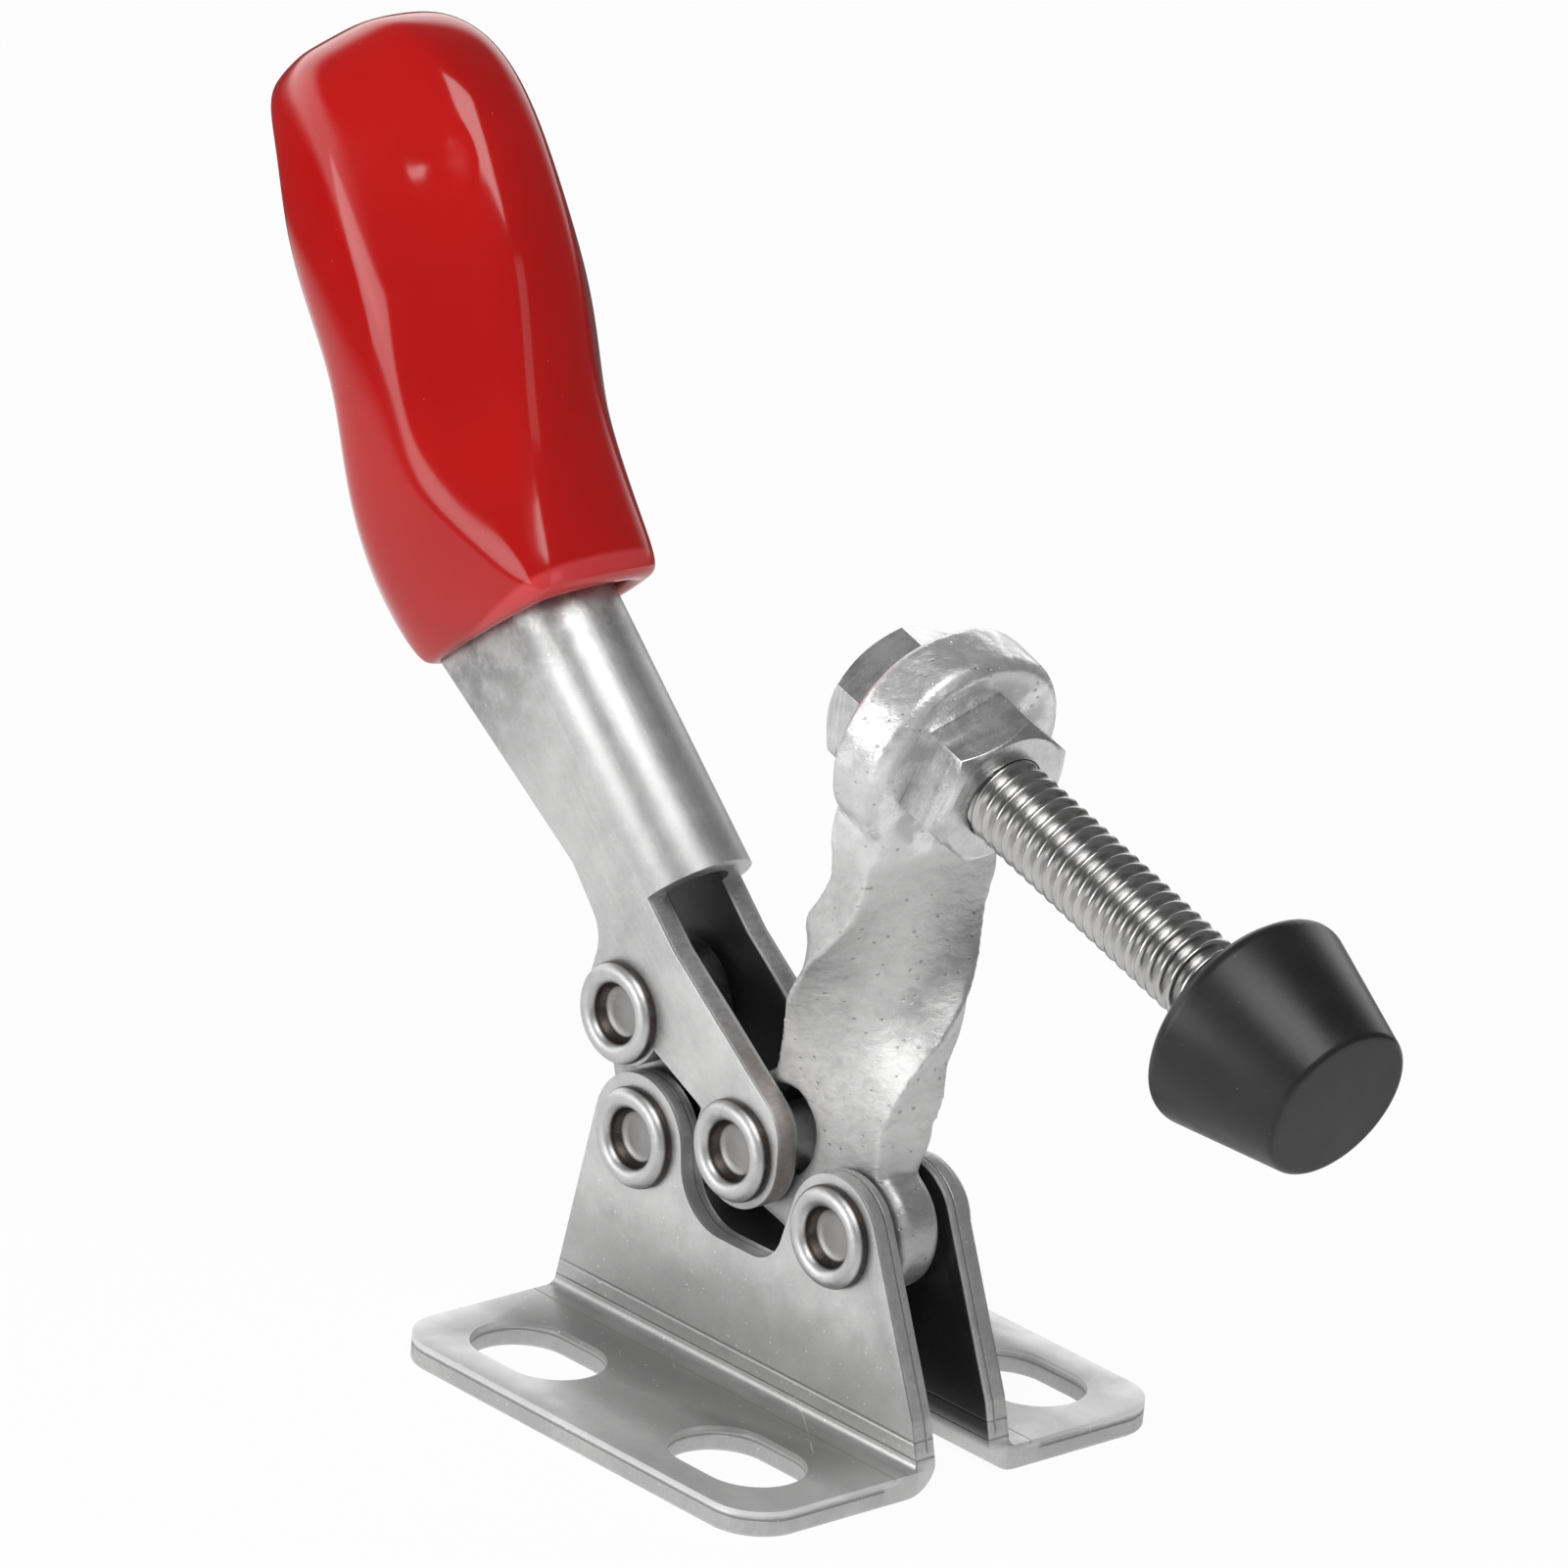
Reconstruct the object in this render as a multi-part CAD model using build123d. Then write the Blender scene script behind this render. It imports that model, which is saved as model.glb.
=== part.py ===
from build123d import *
import math
import os

# Small horizontal toggle clamp with a flanged base, standing open.
# Millimetres. +X points to the clamping side, +Y to the left, +Z up.
# The origin is the centre of the four mounting slots, on the underside of the base.

# Sheet and layers: two outer layers of sheet with one gap for the inner links
SHEET = 1.2
GAP = 3.2

# Pivots, seen from the side (x, z), with the clamp open
PIVOT_HEIGHT = 10.1
FRONT_PIVOT_X = 5.7
REAR_PIVOT_X = -7.5
ARM_JOINT = (-1.0, 11.8)
LINK_JOINT = (-9.2, 15.54)

# Running and closed-up fits on the rivets, and room beside a moving edge
RUNNING_FIT = 0.05
CLOSED_FIT = 0.02
EDGE_ROOM = 0.3
DRIFT_ROOM = 0.15
DRIFT_STEPS = 12

# Rivets with a rolled rim on one side and a low factory head on the other
SHANK_R = 1.5
RIM_R = 2.365
RIM_HEIGHT = 0.7
RECESS_R = 1.25
RECESS_DEPTH = 0.9
RIM_BEVEL = 0.3
FACTORY_HEAD_R = 2.5
FACTORY_HEAD_HEIGHT = 0.8
HEAD_BEVEL = 0.9

# Base: two bent plates back to back
BASE_LENGTH = 24.6
BASE_WIDTH = 25.0
BASE_CORNER_R = 2.5
BEND_R = 0.4
SLOT_PITCH_X = 13.5
SLOT_PITCH_Y = 16.84
SLOT_R = 2.42
SLOT_TRAVEL = 2.1
REAR_EAR_R = 2.95
FRONT_EAR_R = 2.8
SADDLE_FLOOR = 7.3
SADDLE_FRONT = 2.0
SADDLE_REAR = -4.2
SADDLE_R = 1.9
FRONT_SHOULDER_X = 11.7
FRONT_SHOULDER_Z = 3.4
SHOULDER_R = 2.0

# Toggle link
LINK_THICKNESS = 2.6
LINK_R = 3.0

# Forged arm: flat below, turned a quarter round to the eye
ARM_THICKNESS = 2.4
ARM_OFFSET = -0.15
ARM_BOSS_R = 3.0
ARM_TAIL_R = 2.9
ARM_ROOT = (3.15, 15.3)
ARM_MIDDLE = (4.45, 20.9)
ARM_FRONT_X = 6.9
ARM_REAR_X = -0.6
ROOT_OVERLAP = 0.3
ARM_EDGE = 0.35
NECK_WIDTH = 7.4
NECK_THICKNESS = 3.1
NECK_DROP = 5.6
TWIST_SECTIONS = 7
QUARTER_TURN = 90.0
FLAT_TEST = 0.01
EYE_R = 5.3
EYE_THICKNESS = 3.15
EYE_EDGE = 0.45

# Spindle: bolt through the eye, locked by a nut, with a rubber cap
SPINDLE_TILT = 17.25
EYE_CENTRE = (7.0, 33.17)
THREAD_R = 2.0
EYE_ROOM = 0.06
NUT_ROOM = 0.02
HEX_FLATS = 6.5
HEX_CHAMFER = 0.45
CORNER_BITE = 0.15
TIP_CHAMFER = 0.4
HEAD_HEIGHT = 2.7
HEAD_TURN = 41.8
NUT_HEIGHT = 2.6
NUT_TURN = 22.8
BOLT_LENGTH = 25.0
CAP_LENGTH = 6.7
CAP_REAR_R = 5.36
CAP_FRONT_R = 3.56
CAP_DEPTH = 3.3
CAP_EDGE = 0.55
CAP_FACE_EDGE = 0.2
CAP_ROOM = 0.05

# Handle: one folded channel whose legs carry the two upper joints
HANDLE_LEAN = 137.0
WINDOW_END = (-5.96, 23.14)
CHEEK_EAR_R = 2.7
LINK_EAR_R = 2.5
CHEEK_FRONT = (-6.2, 19.5)
CHEEK_SHOULDER = 3.2
CHEEK_SHOULDER_R = 2.4
CHEEK_HOLLOW = (-10.95, 18.75)
CHEEK_HOLLOW_R = 2.0
LEG_START = 4.1
LEG_DEPTH_START = 6.3
LEG_MOUTH = 16.2
LEG_DEPTH_MOUTH = 8.5
TANG_LENGTH = 34.0
TANG_DEPTH = 5.2

# Grip: a soft sleeve over the tang, (distance, front, rear, half width) per section
GRIP_SIDES = 16
GRIP_SECTIONS = [
    (15.0, 1.6, 10.0, 4.3),
    (19.0, 2.8, 10.9, 5.1),
    (23.0, 4.4, 10.8, 5.8),
    (27.0, 6.4, 9.5, 6.1),
    (31.0, 7.8, 7.6, 6.0),
    (35.0, 8.3, 6.4, 5.7),
    (38.5, 7.75, 5.1, 5.1),
    (41.0, 6.3, 3.7, 4.0),
    (42.3, 4.3, 1.7, 2.2),
]
GRIP_ROOM = 0.1
GRIP_POCKET_END = 0.5

# Derived sizes
HALF_GAP = GAP / 2
HALF_WIDTH = HALF_GAP + SHEET
FRONT_PIVOT = (FRONT_PIVOT_X, PIVOT_HEIGHT)
REAR_PIVOT = (REAR_PIVOT_X, PIVOT_HEIGHT)
FAR = 4 * (BASE_LENGTH + BASE_WIDTH)
LEAN = math.radians(HANDLE_LEAN)
TILT = math.radians(SPINDLE_TILT)
SPINDLE_DIR = Vector(math.cos(TILT), 0, -math.sin(TILT))


def polar(centre, radius, degrees):
    angle = math.radians(degrees)
    return (centre[0] + radius * math.cos(angle), centre[1] + radius * math.sin(angle))


def bearing(start, end):
    return math.degrees(math.atan2(end[1] - start[1], end[0] - start[0]))


def touch(point, centre, radius, side):
    """Point where a line from point touches a circle, on its left (+1) or right (-1)."""
    spread = math.degrees(math.acos(radius / math.dist(point, centre)))
    return polar(centre, radius, bearing(centre, point) + side * spread)


def on_handle(along, front):
    """Side-view point measured along the handle and out from its front line."""
    x = WINDOW_END[0] + along * math.cos(LEAN) + front * math.sin(LEAN)
    z = WINDOW_END[1] + along * math.sin(LEAN) - front * math.cos(LEAN)
    return (x, z)


def slab(outline, y_low, y_high):
    """Side-view outline (x, z) made solid between two values of Y."""
    return extrude(Plane.XZ.offset(-y_high) * outline, amount=y_high - y_low, dir=(0, -1, 0))


def disc(centre, radius):
    return Pos(centre[0], centre[1]) * Circle(radius)


def both_cheeks(outline):
    near = slab(outline, -HALF_WIDTH, -HALF_GAP)
    return near + mirror(near, about=Plane.XZ)


def cross_hole(centre, radius):
    return slab(disc(centre, radius), -FAR, FAR)


def spindle_plane(station):
    """Plane across the spindle, station mm in front of the middle of the eye."""
    centre = Vector(EYE_CENTRE[0], 0, EYE_CENTRE[1])
    return Plane(origin=centre + SPINDLE_DIR * station, x_dir=(0, 1, 0), z_dir=SPINDLE_DIR)


def spindle_cylinder(radius, start, end):
    return extrude(spindle_plane(start) * Circle(radius), amount=end - start)


# Base


def wall_outline():
    """Side view of one base wall: two ears over a saddle, on the full flange length."""
    half = BASE_LENGTH / 2
    rear_foot = (-half, SHEET)
    shoulder = (FRONT_SHOULDER_X, FRONT_SHOULDER_Z)
    saddle_rear = (SADDLE_REAR, SADDLE_FLOOR)
    saddle_front = (SADDLE_FRONT, SADDLE_FLOOR)
    rear_up = touch(rear_foot, REAR_PIVOT, REAR_EAR_R, -1)
    rear_down = touch(saddle_rear, REAR_PIVOT, REAR_EAR_R, 1)
    front_up = touch(saddle_front, FRONT_PIVOT, FRONT_EAR_R, -1)
    front_down = touch(shoulder, FRONT_PIVOT, FRONT_EAR_R, 1)
    outline = make_face(
        [
            Polyline((half, SHEET), (half, 0), (-half, 0), rear_foot, rear_up),
            ThreePointArc(rear_up, polar(REAR_PIVOT, REAR_EAR_R, 90), rear_down),
            Polyline(rear_down, saddle_rear, saddle_front, front_up),
            ThreePointArc(front_up, polar(FRONT_PIVOT, FRONT_EAR_R, 90), front_down),
            Polyline(front_down, shoulder, (half, SHEET)),
        ]
    )
    saddle = outline.vertices().filter_by(lambda v: abs(v.Y - SADDLE_FLOOR) < EDGE_ROOM)
    outline = fillet(saddle, SADDLE_R)
    corner = outline.vertices().sort_by_distance((shoulder[0], shoulder[1], 0))[0]
    return fillet(corner, SHOULDER_R)


def bent_section():
    """Cross-section of the near plate, looking along +X: a flange and a wall."""
    outer_bend = BEND_R + SHEET
    edge = BASE_WIDTH / 2
    heel = (-HALF_GAP, 0)
    crease = (-HALF_WIDTH, SHEET)
    top = PIVOT_HEIGHT + 2 * REAR_EAR_R
    section = Polygon(
        (-edge, 0), heel, (-HALF_GAP, top), (-HALF_WIDTH, top), crease, (-edge, SHEET), align=None
    )
    corner = section.vertices().sort_by_distance((heel[0], heel[1], 0))[0]
    section = fillet(corner, outer_bend)
    corner = section.vertices().sort_by_distance((crease[0], crease[1], 0))[0]
    return fillet(corner, BEND_R)


def mounting_slots():
    slots = GridLocations(SLOT_PITCH_X, SLOT_PITCH_Y, 2, 2) * SlotCenterToCenter(SLOT_TRAVEL, 2 * SLOT_R)
    return extrude(Sketch() + slots, amount=SHEET, both=True)


def base_plate():
    length = Plane(origin=(-BASE_LENGTH / 2, 0, 0), x_dir=(0, 1, 0), z_dir=(1, 0, 0))
    plate = extrude(length * bent_section(), amount=BASE_LENGTH)
    plate &= slab(wall_outline(), -BASE_WIDTH, BASE_WIDTH)
    plate &= extrude(RectangleRounded(BASE_LENGTH, BASE_WIDTH, BASE_CORNER_R), amount=FAR)
    plate -= cross_hole(FRONT_PIVOT, SHANK_R + CLOSED_FIT)
    plate -= cross_hole(REAR_PIVOT, SHANK_R + CLOSED_FIT)
    return plate - mounting_slots()


# Rivets


def rivet(centre):
    """Semi-tubular rivet across both outer layers, its rolled rim on the near side."""
    rim_top = HALF_WIDTH + RIM_HEIGHT
    rim_side = rim_top - RIM_BEVEL
    floor = rim_top - RECESS_DEPTH
    head_side = -HALF_WIDTH - FACTORY_HEAD_HEIGHT + RIM_BEVEL
    head_top = -HALF_WIDTH - FACTORY_HEAD_HEIGHT
    profile = Polygon(
        (0, head_top),
        (FACTORY_HEAD_R - HEAD_BEVEL, head_top),
        (FACTORY_HEAD_R, head_side),
        (FACTORY_HEAD_R, -HALF_WIDTH),
        (SHANK_R, -HALF_WIDTH),
        (SHANK_R, HALF_WIDTH),
        (RIM_R, HALF_WIDTH),
        (RIM_R, rim_side),
        (RIM_R - RIM_BEVEL, rim_top),
        (RECESS_R + RIM_BEVEL, rim_top),
        (RECESS_R, floor),
        (0, floor),
        align=None,
    )
    lathe = Plane(origin=(centre[0], 0, centre[1]), x_dir=(1, 0, 0), z_dir=(0, 0, -1))
    return revolve(lathe * profile, Axis((centre[0], 0, centre[1]), (0, 1, 0)))


# Toggle link


def toggle_link():
    middle_x = (REAR_PIVOT[0] + LINK_JOINT[0]) / 2
    middle_z = (REAR_PIVOT[1] + LINK_JOINT[1]) / 2
    reach = math.dist(REAR_PIVOT, LINK_JOINT)
    turn = Rot(0, 0, bearing(REAR_PIVOT, LINK_JOINT))
    outline = Pos(middle_x, middle_z) * turn * SlotCenterToCenter(reach, 2 * LINK_R)
    link = slab(outline, -LINK_THICKNESS / 2, LINK_THICKNESS / 2)
    link -= cross_hole(REAR_PIVOT, SHANK_R + RUNNING_FIT)
    return link - cross_hole(LINK_JOINT, SHANK_R + RUNNING_FIT)


# Arm


def fold_angles():
    """Turns of arm, link and handle from open to dead centre, in degrees."""
    arm = math.dist(FRONT_PIVOT, ARM_JOINT)
    link = math.dist(REAR_PIVOT, LINK_JOINT)
    handle = math.dist(ARM_JOINT, LINK_JOINT)
    base = math.dist(FRONT_PIVOT, REAR_PIVOT)
    opening = (arm**2 + base**2 - (link + handle) ** 2) / (2 * arm * base)
    closed_bearing = 180 - math.degrees(math.acos(opening))
    closed_joint = polar(FRONT_PIVOT, arm, closed_bearing)
    in_line = bearing(REAR_PIVOT, closed_joint)
    arm_turn = bearing(FRONT_PIVOT, ARM_JOINT) - closed_bearing
    link_turn = bearing(REAR_PIVOT, LINK_JOINT) - in_line
    handle_turn = in_line + 180 - bearing(ARM_JOINT, LINK_JOINT)
    return arm_turn, link_turn, handle_turn


def turned(point, centre, degrees):
    reach = math.dist(centre, point)
    return polar(centre, reach, bearing(centre, point) + degrees)


def joint_drift(share):
    """Where the handle's rivet stands on the arm, in the arm's frame, at a share of the fold."""
    arm_turn, link_turn, handle_turn = fold_angles()
    link_end = turned(LINK_JOINT, REAR_PIVOT, -link_turn * share)
    reach = math.dist(LINK_JOINT, ARM_JOINT)
    lean = bearing(LINK_JOINT, ARM_JOINT) + handle_turn * share
    rivet_centre = polar(link_end, reach, lean)
    return turned(rivet_centre, FRONT_PIVOT, arm_turn * share)


def joint_pocket():
    """Clearance pocket that the handle's rivet sweeps in the arm over the whole fold."""
    radius = SHANK_R + DRIFT_ROOM
    stops = [disc(joint_drift(step / DRIFT_STEPS), radius) for step in range(DRIFT_STEPS)]
    return make_hull([edge for stop in stops for edge in stop.edges()])


def arm_flat():
    """Lower half of the arm: a boss on the front pivot and a tail to the handle."""
    top = ARM_ROOT[1] + ROOT_OVERLAP
    shoulder = (ARM_REAR_X, top)
    tail_top = touch(shoulder, ARM_JOINT, ARM_TAIL_R, 1)
    neck_foot = (ARM_FRONT_X, PIVOT_HEIGHT)
    outline = make_hull(disc(FRONT_PIVOT, ARM_BOSS_R).edges() + disc(ARM_JOINT, ARM_TAIL_R).edges())
    outline += Polygon(neck_foot, (ARM_FRONT_X, top), shoulder, tail_top, ARM_JOINT, align=None)
    flat = slab(outline, ARM_OFFSET - ARM_THICKNESS / 2, ARM_OFFSET + ARM_THICKNESS / 2)
    rims = flat.edges().filter_by(lambda edge: abs(edge.tangent_at(0).Y) < FLAT_TEST)
    return chamfer(rims, ARM_EDGE)


def arm_twist():
    """Upper half of the arm: a bar turned a quarter round about a curved spine."""
    neck = spindle_plane(0).origin - spindle_plane(0).y_dir * NECK_DROP
    root = Vector(ARM_ROOT[0], ARM_OFFSET, ARM_ROOT[1])
    middle = Vector(ARM_MIDDLE[0], ARM_OFFSET / 2, ARM_MIDDLE[1])
    spine = Spline(root, middle, neck)
    width = ARM_FRONT_X - ARM_REAR_X
    sections = []
    for step in range(TWIST_SECTIONS):
        share = step / (TWIST_SECTIONS - 1)
        eased = (1 - math.cos(math.pi * share)) / 2
        turn = math.radians(QUARTER_TURN * eased)
        across = Vector(math.cos(turn), math.sin(turn), 0)
        rise = spindle_plane(0).y_dir * eased + Vector(0, 0, 1) * (1 - eased)
        plane = Plane(origin=spine @ share, x_dir=across - rise * across.dot(rise), z_dir=rise)
        wide = width + (NECK_WIDTH - width) * eased
        thick = ARM_THICKNESS + (NECK_THICKNESS - ARM_THICKNESS) * eased
        sections.append(plane * Rectangle(wide, thick))
    top = extrude(sections[-1], amount=NECK_DROP)
    return loft(sections) + top


def clamp_arm():
    eye = spindle_cylinder(EYE_R, -EYE_THICKNESS / 2, EYE_THICKNESS / 2)
    eye = chamfer(eye.edges().filter_by(GeomType.CIRCLE), EYE_EDGE)
    arm = arm_flat() + arm_twist() + eye
    arm -= spindle_cylinder(THREAD_R + EYE_ROOM, -EYE_THICKNESS, EYE_THICKNESS)
    arm -= cross_hole(FRONT_PIVOT, SHANK_R + RUNNING_FIT)
    return arm - slab(joint_pocket(), -FAR, FAR)


# Spindle


def hexagon(start, end, turn, face_up):
    """Hexagonal prism on the spindle, its corners chamfered at the outer face."""
    blank = RegularPolygon(HEX_FLATS / 2, 6, major_radius=False, rotation=turn)
    prism = extrude(spindle_plane(start) * blank, amount=end - start)
    corner_r = HEX_FLATS / math.sqrt(3)
    turned_blank = spindle_cylinder(corner_r, start, end)
    rims = turned_blank.edges().filter_by(GeomType.CIRCLE).sort_by(Axis(turned_blank.center(), SPINDLE_DIR))
    rim = rims[-1] if face_up else rims[0]
    return prism & chamfer(rim, HEX_CHAMFER, corner_r - HEX_FLATS / 2 + CORNER_BITE)


def spindle_bolt():
    seat = -EYE_THICKNESS / 2
    head = hexagon(seat - HEAD_HEIGHT, seat, HEAD_TURN, False)
    shank = spindle_cylinder(THREAD_R, seat - HEAD_HEIGHT / 2, seat + BOLT_LENGTH)
    tip = shank.edges().filter_by(GeomType.CIRCLE).sort_by(Axis(shank.center(), SPINDLE_DIR))[-1]
    return head + chamfer(tip, TIP_CHAMFER)


def spindle_nut():
    seat = EYE_THICKNESS / 2
    nut = hexagon(seat, seat + NUT_HEIGHT, NUT_TURN, True)
    return nut - spindle_cylinder(THREAD_R + NUT_ROOM, seat - NUT_HEIGHT, seat + 2 * NUT_HEIGHT)


def rubber_cap():
    """Truncated cone pressed over the end of the bolt."""
    tip = BOLT_LENGTH - EYE_THICKNESS / 2
    rear = tip - CAP_DEPTH
    sections = [
        spindle_plane(rear) * Circle(CAP_REAR_R),
        spindle_plane(rear + CAP_LENGTH) * Circle(CAP_FRONT_R),
    ]
    cap = loft(sections)
    rims = cap.edges().filter_by(GeomType.CIRCLE).sort_by(Axis(cap.center(), SPINDLE_DIR))
    cap = chamfer(rims[0], CAP_EDGE)
    rims = cap.edges().filter_by(GeomType.CIRCLE).sort_by(Axis(cap.center(), SPINDLE_DIR))
    cap = chamfer(rims[-1], CAP_FACE_EDGE)
    return cap - spindle_cylinder(THREAD_R + CAP_ROOM, rear - CAP_LENGTH, tip + CAP_ROOM)


# Handle


def leg_outline():
    """Side view of the folded channel, from the window to the end of the tang."""
    return Polygon(
        on_handle(0, HALF_WIDTH),
        on_handle(TANG_LENGTH, HALF_WIDTH),
        on_handle(TANG_LENGTH, -TANG_DEPTH),
        on_handle(LEG_MOUTH, -LEG_DEPTH_MOUTH),
        on_handle(LEG_START, -LEG_DEPTH_START),
        CHEEK_HOLLOW,
        align=None,
    )


def cheek_outline():
    """Side view of a cheek: two ears below the legs, hollowed to pass the rear ear."""
    edge_point = touch(CHEEK_FRONT, ARM_JOINT, CHEEK_SHOULDER, -1)
    shoulder_x = ARM_JOINT[0] + CHEEK_EAR_R
    slope = (edge_point[1] - CHEEK_FRONT[1]) / (edge_point[0] - CHEEK_FRONT[0])
    shoulder = (shoulder_x, CHEEK_FRONT[1] + slope * (shoulder_x - CHEEK_FRONT[0]))
    plate = Polygon(
        on_handle(0, -HALF_WIDTH),
        on_handle(LEG_START, -HALF_WIDTH),
        on_handle(LEG_START, -LEG_DEPTH_START),
        CHEEK_HOLLOW,
        touch(CHEEK_HOLLOW, LINK_JOINT, LINK_EAR_R, 1),
        LINK_JOINT,
        ARM_JOINT,
        (shoulder_x, ARM_JOINT[1]),
        shoulder,
        CHEEK_FRONT,
        align=None,
    )
    corner = plate.vertices().sort_by_distance((shoulder[0], shoulder[1], 0))[0]
    plate = fillet(corner, CHEEK_SHOULDER_R)
    corner = plate.vertices().sort_by_distance((CHEEK_HOLLOW[0], CHEEK_HOLLOW[1], 0))[0]
    plate = fillet(corner, CHEEK_HOLLOW_R)
    ears = disc(ARM_JOINT, CHEEK_EAR_R) + disc(LINK_JOINT, LINK_EAR_R)
    return plate + ears - disc(REAR_PIVOT, REAR_EAR_R + EDGE_ROOM)


def folded_section(half_width):
    """Cross-section of the fold: a full round in front and straight legs behind it."""
    legs = Pos(0, HALF_WIDTH + FAR / 2) * Rectangle(2 * half_width, FAR)
    return legs + disc((0, HALF_WIDTH), half_width)


def folded_bar(section, length):
    start = on_handle(0, 0)
    direction = (math.cos(LEAN), 0, math.sin(LEAN))
    plane = Plane(origin=(start[0], 0, start[1]), x_dir=(0, 1, 0), z_dir=direction)
    return extrude(plane * section, amount=length)


def handle():
    channel = folded_bar(folded_section(HALF_WIDTH) - folded_section(HALF_GAP), TANG_LENGTH)
    channel &= slab(leg_outline(), -HALF_WIDTH, HALF_WIDTH)
    body = channel + both_cheeks(cheek_outline())
    body -= cross_hole(ARM_JOINT, SHANK_R + CLOSED_FIT)
    return body - cross_hole(LINK_JOINT, SHANK_R + CLOSED_FIT)


# Grip


def grip_section(half_width, half_depth):
    """Many-sided oval, a flat to the front and the rear."""
    step = 2 * math.pi / GRIP_SIDES
    turns = [step * (side + 1 / 2) for side in range(GRIP_SIDES)]
    corners = [(half_width * math.cos(turn), half_depth * math.sin(turn)) for turn in turns]
    return Polygon(*corners, align=None)


def handle_grip():
    """Soft sleeve, oval across, that swells forward from its mouth to a rounded end."""
    direction = Vector(math.cos(LEAN), 0, math.sin(LEAN))
    sections = []
    for along, front, rear, half in GRIP_SECTIONS:
        centre = on_handle(along, (front - rear) / 2)
        plane = Plane(origin=(centre[0], 0, centre[1]), x_dir=(0, 1, 0), z_dir=direction)
        sections.append(plane * grip_section(half, (front + rear) / 2))
    grip = loft(sections)
    tang = folded_bar(folded_section(HALF_WIDTH + GRIP_ROOM), TANG_LENGTH + GRIP_POCKET_END)
    room = offset(leg_outline(), GRIP_ROOM)
    return grip - (tang & slab(room, -FAR, FAR))


def save(node, shape):
    solids = shape.solids()
    print(node, len(solids), "solid", round(sum(solid.volume for solid in solids), 2), "mm3")
    export_step(shape, os.path.join("parts", node + ".step"))


os.makedirs("parts", exist_ok=True)
near_plate = base_plate()
save("base_plate_right", near_plate)
save("base_plate_left", mirror(near_plate, about=Plane.XZ))
save("pivot_rivet_front", rivet(FRONT_PIVOT))
save("pivot_rivet_rear", rivet(REAR_PIVOT))
save("clamp_arm", clamp_arm())
save("spindle_bolt", spindle_bolt())
save("spindle_nut", spindle_nut())
save("rubber_cap", rubber_cap())
save("toggle_link", toggle_link())
save("handle", handle())
save("handle_grip", handle_grip())
save("joint_rivet_arm", rivet(ARM_JOINT))
save("joint_rivet_link", rivet(LINK_JOINT))
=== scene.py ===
import math

import bpy
from mathutils import Matrix, Vector


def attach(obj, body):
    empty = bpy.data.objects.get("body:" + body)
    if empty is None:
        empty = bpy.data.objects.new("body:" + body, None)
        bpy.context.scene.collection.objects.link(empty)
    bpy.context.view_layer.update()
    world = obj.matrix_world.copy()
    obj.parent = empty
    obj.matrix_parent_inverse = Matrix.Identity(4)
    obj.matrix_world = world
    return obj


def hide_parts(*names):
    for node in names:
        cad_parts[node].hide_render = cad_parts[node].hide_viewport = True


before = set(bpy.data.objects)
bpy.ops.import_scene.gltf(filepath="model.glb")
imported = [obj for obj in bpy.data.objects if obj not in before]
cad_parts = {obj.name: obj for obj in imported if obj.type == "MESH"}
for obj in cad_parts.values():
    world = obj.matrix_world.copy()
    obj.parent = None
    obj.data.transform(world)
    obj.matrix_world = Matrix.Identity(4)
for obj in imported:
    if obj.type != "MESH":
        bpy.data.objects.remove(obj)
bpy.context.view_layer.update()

# Toggle clamp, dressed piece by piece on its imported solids. Sizes are in millimetres, and
# times MM they are the scene's metres.

MM = 0.001

# --------------------------------------------------------------------------
# Shader building
# --------------------------------------------------------------------------


class Wire:
    """A socket that adds a Math node for each operator used on it."""

    def __init__(self, board, socket):
        self.board = board
        self.socket = socket

    def math(self, operation, other, flipped=False):
        pair = (other, self) if flipped else (self, other)
        return self.board.node("ShaderNodeMath", {"operation": operation}, dict(enumerate(pair)))

    def __add__(self, other):
        return self.math("ADD", other)

    def __radd__(self, other):
        return self.math("ADD", other, True)

    def __sub__(self, other):
        return self.math("SUBTRACT", other)

    def __rsub__(self, other):
        return self.math("SUBTRACT", other, True)

    def __mul__(self, other):
        return self.math("MULTIPLY", other)

    def __rmul__(self, other):
        return self.math("MULTIPLY", other, True)

    def low(self, other):
        return self.math("MINIMUM", other)

    def high(self, other):
        return self.math("MAXIMUM", other)

    def size(self):
        return self.board.node("ShaderNodeMath", {"operation": "ABSOLUTE"}, {0: self})

    def rise(self, start, end):
        """0 up to start, rising smoothly to 1 at end."""
        return self.board.node(
            "ShaderNodeMapRange",
            {"interpolation_type": "SMOOTHSTEP"},
            {"Value": self, "From Min": start, "From Max": end, "To Min": 0.0, "To Max": 1.0},
        )

    def fall(self, start, end):
        """1 up to start, falling smoothly to 0 at end."""
        return 1.0 - self.rise(start, end)

    def band(self, centre, half_width, soft):
        """1 within half_width of centre, fading to 0 over the soft width outside it."""
        return (self - centre).size().fall(half_width, half_width + soft)


class Board:
    """A node tree, with the one method that adds nodes to it."""

    def __init__(self, tree):
        self.tree = tree

    def node(self, kind, settings, inputs, output=0):
        made = self.tree.nodes.new(kind)
        for name, value in settings.items():
            setattr(made, name, value)
        for key, value in inputs.items():
            self.fill(made.inputs[key], value)
        return Wire(self, made.outputs[output])

    def fill(self, socket, value):
        if isinstance(value, Wire):
            self.tree.links.new(value.socket, socket)
        else:
            socket.default_value = value

    def mix(self, factor, first, second):
        """Blend of two colours."""
        values = {0: factor, 6: first, 7: second}
        return self.node("ShaderNodeMix", {"data_type": "RGBA"}, values, 2)


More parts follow.
